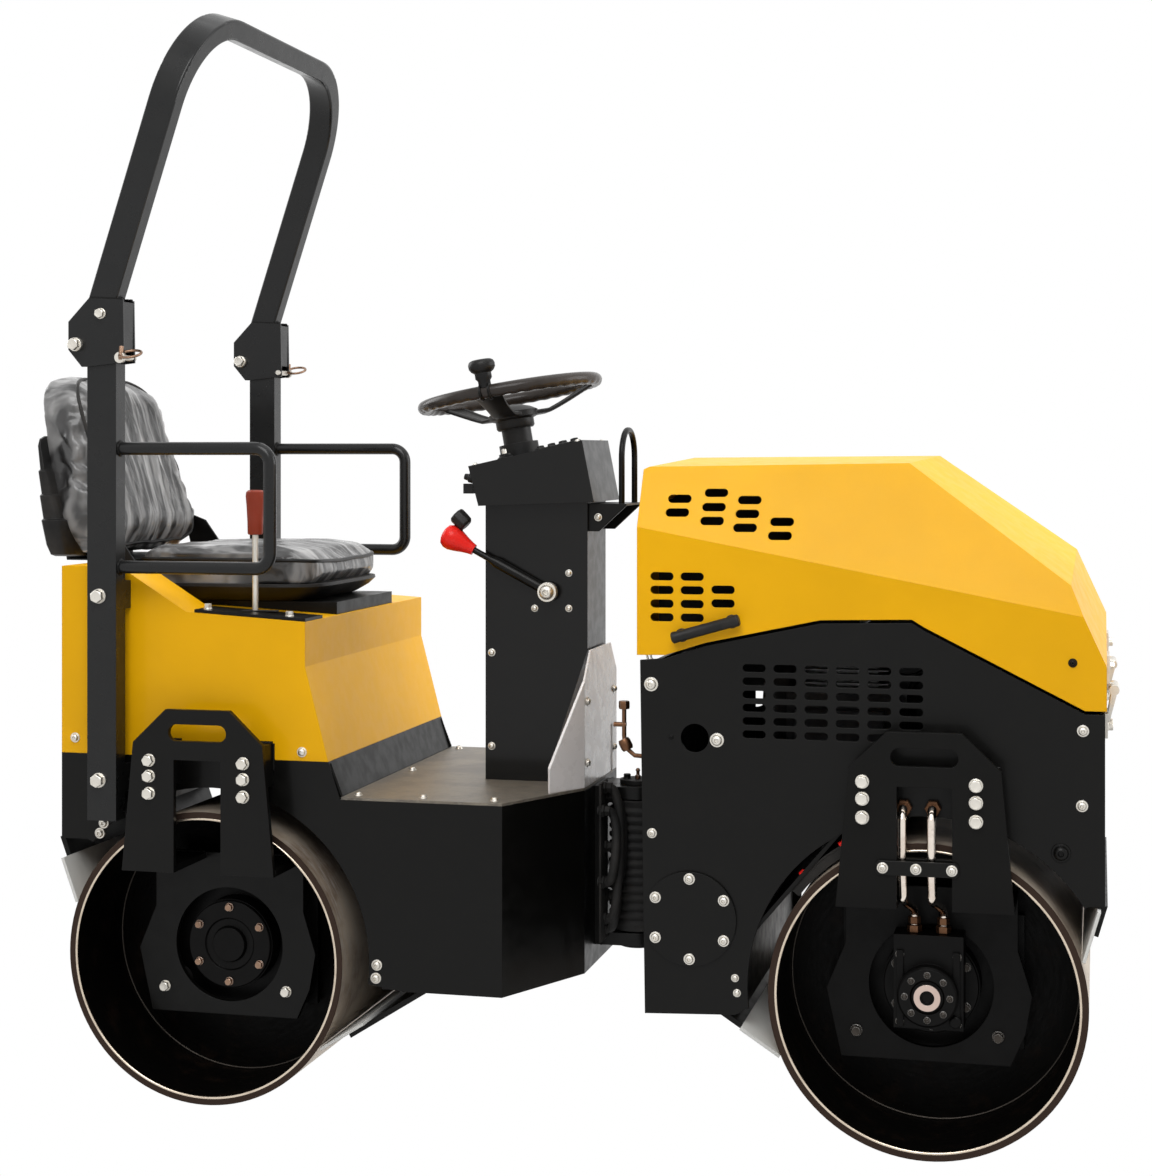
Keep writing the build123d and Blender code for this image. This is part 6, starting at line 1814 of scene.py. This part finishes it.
# --- seat
@dataclass
class Pad:
    """One padded seat part: swollen by cloth simulation, creased, and trimmed with piping.

    Attributes:
        node: the CAD solid it stands for.
        facing: the direction that its used face looks in.
        rest: a point and direction of the flat face it rests on.
        fill: how full it is, 0 to 1; not used.
        shrink: the size it starts from along each axis, as a share of the solid.
        shift: how far the pad's middle is moved before it swells, in metres.
        narrow: how much narrower its top is than its foot, as a share.
        lift: how far its underside rises towards its front, in metres.
        voxel: the mesh's cell, in metres.
        cap: how far the cloth may move, in metres.
        crease: the height of the folds in its cover, in metres.
        trim: the piping's points before they settle on the surface.
    """

    node: str
    facing: Point
    rest: tuple[Point, Point]
    fill: float
    shrink: Point = (0.975, 0.975, 0.975)
    shift: Point = (0.0, 0.0, 0.0)
    narrow: float = 0.0
    lift: float = 0.0
    voxel: float = 0.0065
    cap: float = 0.012
    crease: float = 0.0035
    trim: list[Point] = field(default_factory=list)

    def build(self) -> None:
        """Adds the pad in place of its plain CAD solid, with its piping."""
        low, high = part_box(self.node)
        centre = (low + high) / 2
        form = bmesh.new()
        form.from_mesh(frame["nodes"][self.node].data)
        bmesh.ops.remove_doubles(form, verts=form.verts, dist=1e-5)
        for vertex in form.verts:
            share = Vector([(vertex.co[i] - low[i]) / (high[i] - low[i]) for i in range(3)])
            vertex.co = centre + Vector(self.shift) + (vertex.co - centre) * Vector(self.shrink)
            vertex.co.y *= 1 - self.narrow * share.z ** 2.5
            vertex.co.x -= self.narrow * 0.1 * share.z ** 4
            vertex.co.z += self.lift * share.x ** 1.5 * (1 - share.z)
        source = bpy.data.meshes.new(f"{self.node}_pad")
        form.to_mesh(source)
        form.free()
        pad = bpy.data.objects.new(f"{self.node}_pad", source)
        show(pad)
        remesh = pad.modifiers.new("Remesh", "REMESH")
        remesh.mode, remesh.voxel_size = "VOXEL", self.voxel
        self._apply(pad)
        self._swell(pad)
        pad.modifiers.new("Smooth", "SUBSURF").levels = 1
        self._apply(pad)
        self._shape(pad)
        settle(pad, VINYL, "rear_frame", angle=80)
        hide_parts(self.node)
        self._pipe(pad)

    @staticmethod
    def _apply(pad: bpy.types.Object) -> None:
        """Turns what the modifiers give into the object's own mesh.

        Args:
            pad: the object.
        """
        made = baked(pad)
        pad.modifiers.clear()
        pad.data = made

    def _swell(self, pad: bpy.types.Object) -> None:
        """Lets pressure swell the pad as cloth, and holds each point within the cap.

        Args:
            pad: the object.
        """
        before = [vertex.co.copy() for vertex in pad.data.vertices]
        cloth = pad.modifiers.new("Cloth", "CLOTH").settings
        cloth.quality, cloth.mass = 5, 0.3
        cloth.use_pressure, cloth.uniform_pressure_force = True, 4.0
        cloth.effector_weights.gravity = 0.0
        cloth.tension_stiffness = cloth.compression_stiffness = 12.0
        cloth.bending_stiffness = 0.6
        scene = bpy.context.scene
        for number in range(1, 21):
            scene.frame_set(number)
        self._apply(pad)
        scene.frame_set(1)
        for vertex, start in zip(pad.data.vertices, before):
            move = vertex.co - start
            if move.length > self.cap:
                vertex.co = start + move * (self.cap / move.length)

    def _shape(self, pad: bpy.types.Object) -> None:
        """Folds the cover and keeps the pad off what it rests on.

        Args:
            pad: the object.
        """
        facing = Vector(self.facing)
        place, out = Vector(self.rest[0]), Vector(self.rest[1])
        normals = [vertex.normal.copy() for vertex in pad.data.vertices]
        for vertex, normal in zip(pad.data.vertices, normals):
            p = vertex.co.copy()
            share = max(0.0, normal.dot(facing)) ** 0.7
            across, along = p.y * 10 + p.z * 5 + p.x * 3, p.z * 2.4 + p.x * 2.0
            ridge = 1 - abs(noise.noise(Vector((across, along, 3.1))))
            fine = 1 - abs(noise.noise(Vector((across * 2.3, along * 3.7, 9.4))))
            fold = ridge ** 6 + 0.45 * fine ** 5 - 0.35
            side = 0.0009 * noise.noise(p * 26)
            p += normal * (self.crease * share * fold + side)
            vertex.co = p - out * min(0.0, (p - place).dot(out))

    def _pipe(self, pad: bpy.types.Object) -> None:
        """Lays piping round the pad's used face.

        Args:
            pad: the finished pad.
        """
        tree = BVHTree.FromPolygons([v.co for v in pad.data.vertices],
                                    [p.vertices for p in pad.data.polygons])
        line = []
        for point in self.trim:
            hit = tree.find_nearest(Vector(point))
            line.append(hit[0] + hit[1] * 0.0008)
        for _ in range(3):
            count = len(line)
            line = [(line[i - 1] + line[i] * 2 + line[(i + 1) % count]) / 4 for i in range(count)]
        Shape().tube(line, 0.0038, 10, closed=True).piece(
            f"{self.node}_piping", PIPING, "rear_frame", angle=80)


@dataclass
class Seat:
    """The operator's seat: cushion, backrest, moulded back cover and recliner plates."""

    def build(self) -> None:
        """Adds the seat to the rear frame."""
        cushion_trim = [(rear(-0.042) + 0.198 * c, 0.216 * s, 1.034)
                        for c, s in self._loop(160, 0.3)]
        Pad("seat_cushion", UPWARD, ((0, 0, 0.9506), UPWARD), 0.85, (0.92, 0.97, 0.66),
            (-0.012, 0, 0.004), lift=0.012, crease=0.0024, trim=cushion_trim).build()
        back_trim = [(rear(-0.322 - 0.245 * (0.182 * s) - 0.03 * (0.5 + 0.5 * s) ** 4),
                      0.213 * c * (1 - 0.22 * (0.5 + 0.5 * s) ** 2.5), 1.226 + 0.18 * s)
                     for c, s in self._loop(160, 0.34)]
        Pad("seat_back", (1, 0, 0.25), ((rear(-0.4115), 0, 1.09), (0.99, 0, 0.145)), 0.8,
            narrow=0.22, crease=0.005, trim=back_trim).build()
        self._pan()
        self._cover()
        self._recliners()

    @staticmethod
    def _loop(count: int, corner: float) -> list[Pair]:
        """A rounded square loop from -1 to 1 each way, evenly spaced round its middle.

        Args:
            count: how many points.
            corner: how round its corners are, 0 to 1.

        Returns:
            The (across, up) points.
        """
        power = 2 / max(0.15, corner)
        made = []
        for a in turns(count):
            c, s = cos(a), sin(a)
            scale = (abs(c) ** power + abs(s) ** power) ** (-1 / power)
            made.append((c * scale, s * scale))
        return made

    def _pan(self) -> None:
        """The moulded pan that the cushion sits in, flared from the seat's base."""
        low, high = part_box("seat_cushion")
        middle, half = (low + high) / 2, (high - low) / 2
        pan, rings = Shape(), []
        for z, along, across in ((low.z - 0.001, 0.7, 0.78), (low.z + 0.004, 0.76, 0.84),
                                 (low.z + 0.018, 0.86, 0.93), (low.z + 0.03, 0.915, 0.965),
                                 (low.z + 0.036, 0.91, 0.96)):
            rings.append(pan.ring((middle.x - 0.012 + half.x * along * c, half.y * across * s, z)
                                  for c, s in self._loop(72, 0.36)))
        pan.solid(rings)
        pan.piece("seat_pan", BLACK_PLASTIC, "rear_frame", angle=40)

    @staticmethod
    def _cover() -> None:
        """The moulded cover behind the backrest's lower half, stepped across."""
        shape, rings = Shape(), []
        levels = [(1.036, 0.86), (1.04, 0.93), (1.06, 0.97), (1.11, 1.0), (1.114, 0.975), (1.16, 0.985),
                  (1.164, 0.96), (1.21, 0.965), (1.214, 0.94), (1.262, 0.93), (1.276, 0.89), (1.282, 0.8)]
        for z, width in levels:
            back = -0.411 - 0.145 * (z - 1.078)
            step = 0.02 - 0.003 * sum(z > edge for edge in (1.112, 1.162, 1.212))
            depth = step * (1 - ((z - 1.158) / 0.132) ** 8 * 0.55)
            half = 0.2325 * width
            ring = []
            for a in turns(40):
                c, s = cos(a), sin(a)
                y = half * copysign(abs(c) ** 0.35, c)
                x = depth * copysign(abs(s) ** 0.45, s)
                wrap = 2.6 - 2.3 * min(1.0, max(0.0, (z - 1.1) / 0.15))
                ring.append((rear(back - x if s > 0 else back - x * wrap), y, z))
            rings.append(shape.ring(ring))
        shape.solid(rings)
        shape.piece("seat_back_cover", BLACK_PLASTIC, "rear_frame", bevel=0.0015, angle=35)

    @staticmethod
    def _recliners() -> None:
        """The plates that join the backrest to the seat's base on both sides."""
        plates = Shape()
        corners = ((-0.262, 0.986), (-0.205, 0.986), (-0.2, 1.004), (-0.268, 1.098), (-0.3, 1.11),
                   (-0.315, 1.09), (-0.3, 1.03))
        outline = [(rear(x), z) for x, z in corners]
        for out in SIDES:
            low, high = sorted((out * 0.2285, out * 0.2335))
            plates.slab(outline, "y", low, high)
            plates.lathe([(0.015, 0), (0.015, 0.006), (0.011, 0.009), (0, 0.009)],
                         (rear(-0.262), out * 0.2335, 1.035), (0, out, 0), 28)
        plates.piece("seat_recliners", BLACK, "rear_frame", bevel=0.0012)


# --- studio
@dataclass
class Studio:
    """The pale floor, the soft lamps and the camera.

    Attributes:
        eye: the camera's place.
        yaw: the camera's turn to the left of straight across, in degrees.
        lens: its focal length in millimetres on a 36 mm sensor.
        rise: its vertical shift.
    """

    eye: Point = (1.041, -4.193, 1.251)
    yaw: float = 13.75
    lens: float = 65.39
    rise: float = -0.1164

    def build(self) -> None:
        """Sets the stage up."""
        self._world()
        self._floor()
        self._lamps()
        self._camera()

    def _world(self) -> None:
        """A surround that lights most from behind and above, and shows white in the view and in gloss."""
        graph = NodeGraph("Surround", world=True)
        bpy.context.scene.world = graph.owner
        split, lit = graph.add("SeparateXYZ"), graph.add("Background")
        graph.feed(split.inputs["Vector"], graph.coords)
        behind = graph.ramp(split.outputs["Y"], -0.15, 0.75, 0.08, 1.9)
        above = graph.ramp(split.outputs["Z"], 0.45, 0.85, 0.0, 1.2)
        lit.inputs["Color"].default_value = (1.0, 1.0, 1.0, 1.0)
        graph.feed(lit.inputs["Strength"], graph.math("ADD", behind, above))
        graph.backdrop(lit)

    def _floor(self) -> None:
        """A plain pale floor that shows white in the view and in gloss and keeps the shadow light."""
        mesh = bpy.data.meshes.new("StudioFloor")
        mesh.from_pydata([(-9, -9, 0), (9, -9, 0), (9, 9, 0), (-9, 9, 0)], [], [(0, 1, 2, 3)])
        floor = bpy.data.objects.new("StudioFloor", mesh)
        show(floor)
        graph = NodeGraph("StudioFloorPaint")
        diffuse = graph.add("BsdfDiffuse")
        diffuse.inputs["Color"].default_value = (0.56, 0.55, 0.54, 1.0)
        graph.backdrop(diffuse)
        mesh.materials.append(graph.owner)

    def _lamps(self) -> None:
        """Soft boxes: a large one over the right side, a front one and a rear one."""
        rows = [("Key", (0.4, -4.4, 5.0), 205, 3.4), ("Front", (4.6, 1.4, 2.4), 90, 3.0),
                ("Rear", (-4.2, 1.0, 2.6), 60, 2.6), ("Top", (0.6, 0.2, 4.6), 20, 3.0)]
        for name, place, power, size in rows:
            lamp = bpy.data.lights.new(name, "AREA")
            lamp.energy, lamp.size = power, size
            thing = bpy.data.objects.new(name, lamp)
            thing.location = place
            thing.rotation_euler = (Vector((0, 0, 0.9)) - Vector(place)).to_track_quat("-Z", "Y").to_euler()
            show(thing)

    def _camera(self) -> None:
        """The camera, level and shifted so that the uprights stay upright."""
        camera = bpy.data.cameras.new("Camera")
        camera.lens, camera.sensor_width, camera.sensor_fit = self.lens, 36.0, "AUTO"
        camera.shift_y = self.rise
        thing = bpy.data.objects.new("Camera", camera)
        thing.location = self.eye
        thing.rotation_euler = (radians(90), 0, radians(self.yaw))
        show(thing)
        bpy.context.scene.camera = thing
        bpy.context.scene.view_settings.view_transform = "Standard"


def main() -> None:
    """Builds the whole scene."""
    dress_frame()
    heads = BoltField()
    rear_carrier = Carrier(heads, "rear", REAR_AXLE_X, (-0.098, 0.094), (0.661, 0.631, 0.598), ZINC, BRONZE)
    front_carrier = Carrier(heads, "front", FRONT_AXLE_X, (-0.108, 0.089), (0.67, 0.64, 0.607), DARK_ZINC,
                            DARK_ZINC)
    for group in (rear_carrier, front_carrier, DriveMotor(heads), RearBody(heads), Hoop(heads),
                  Console(heads), SteeringWheel(), BrakeLever(), Seat(), FrontBody(heads), Engine(),
                  Hood(heads), Hitch(heads), Studio()):
        group.build()


if __name__ == "__main__":
    main()
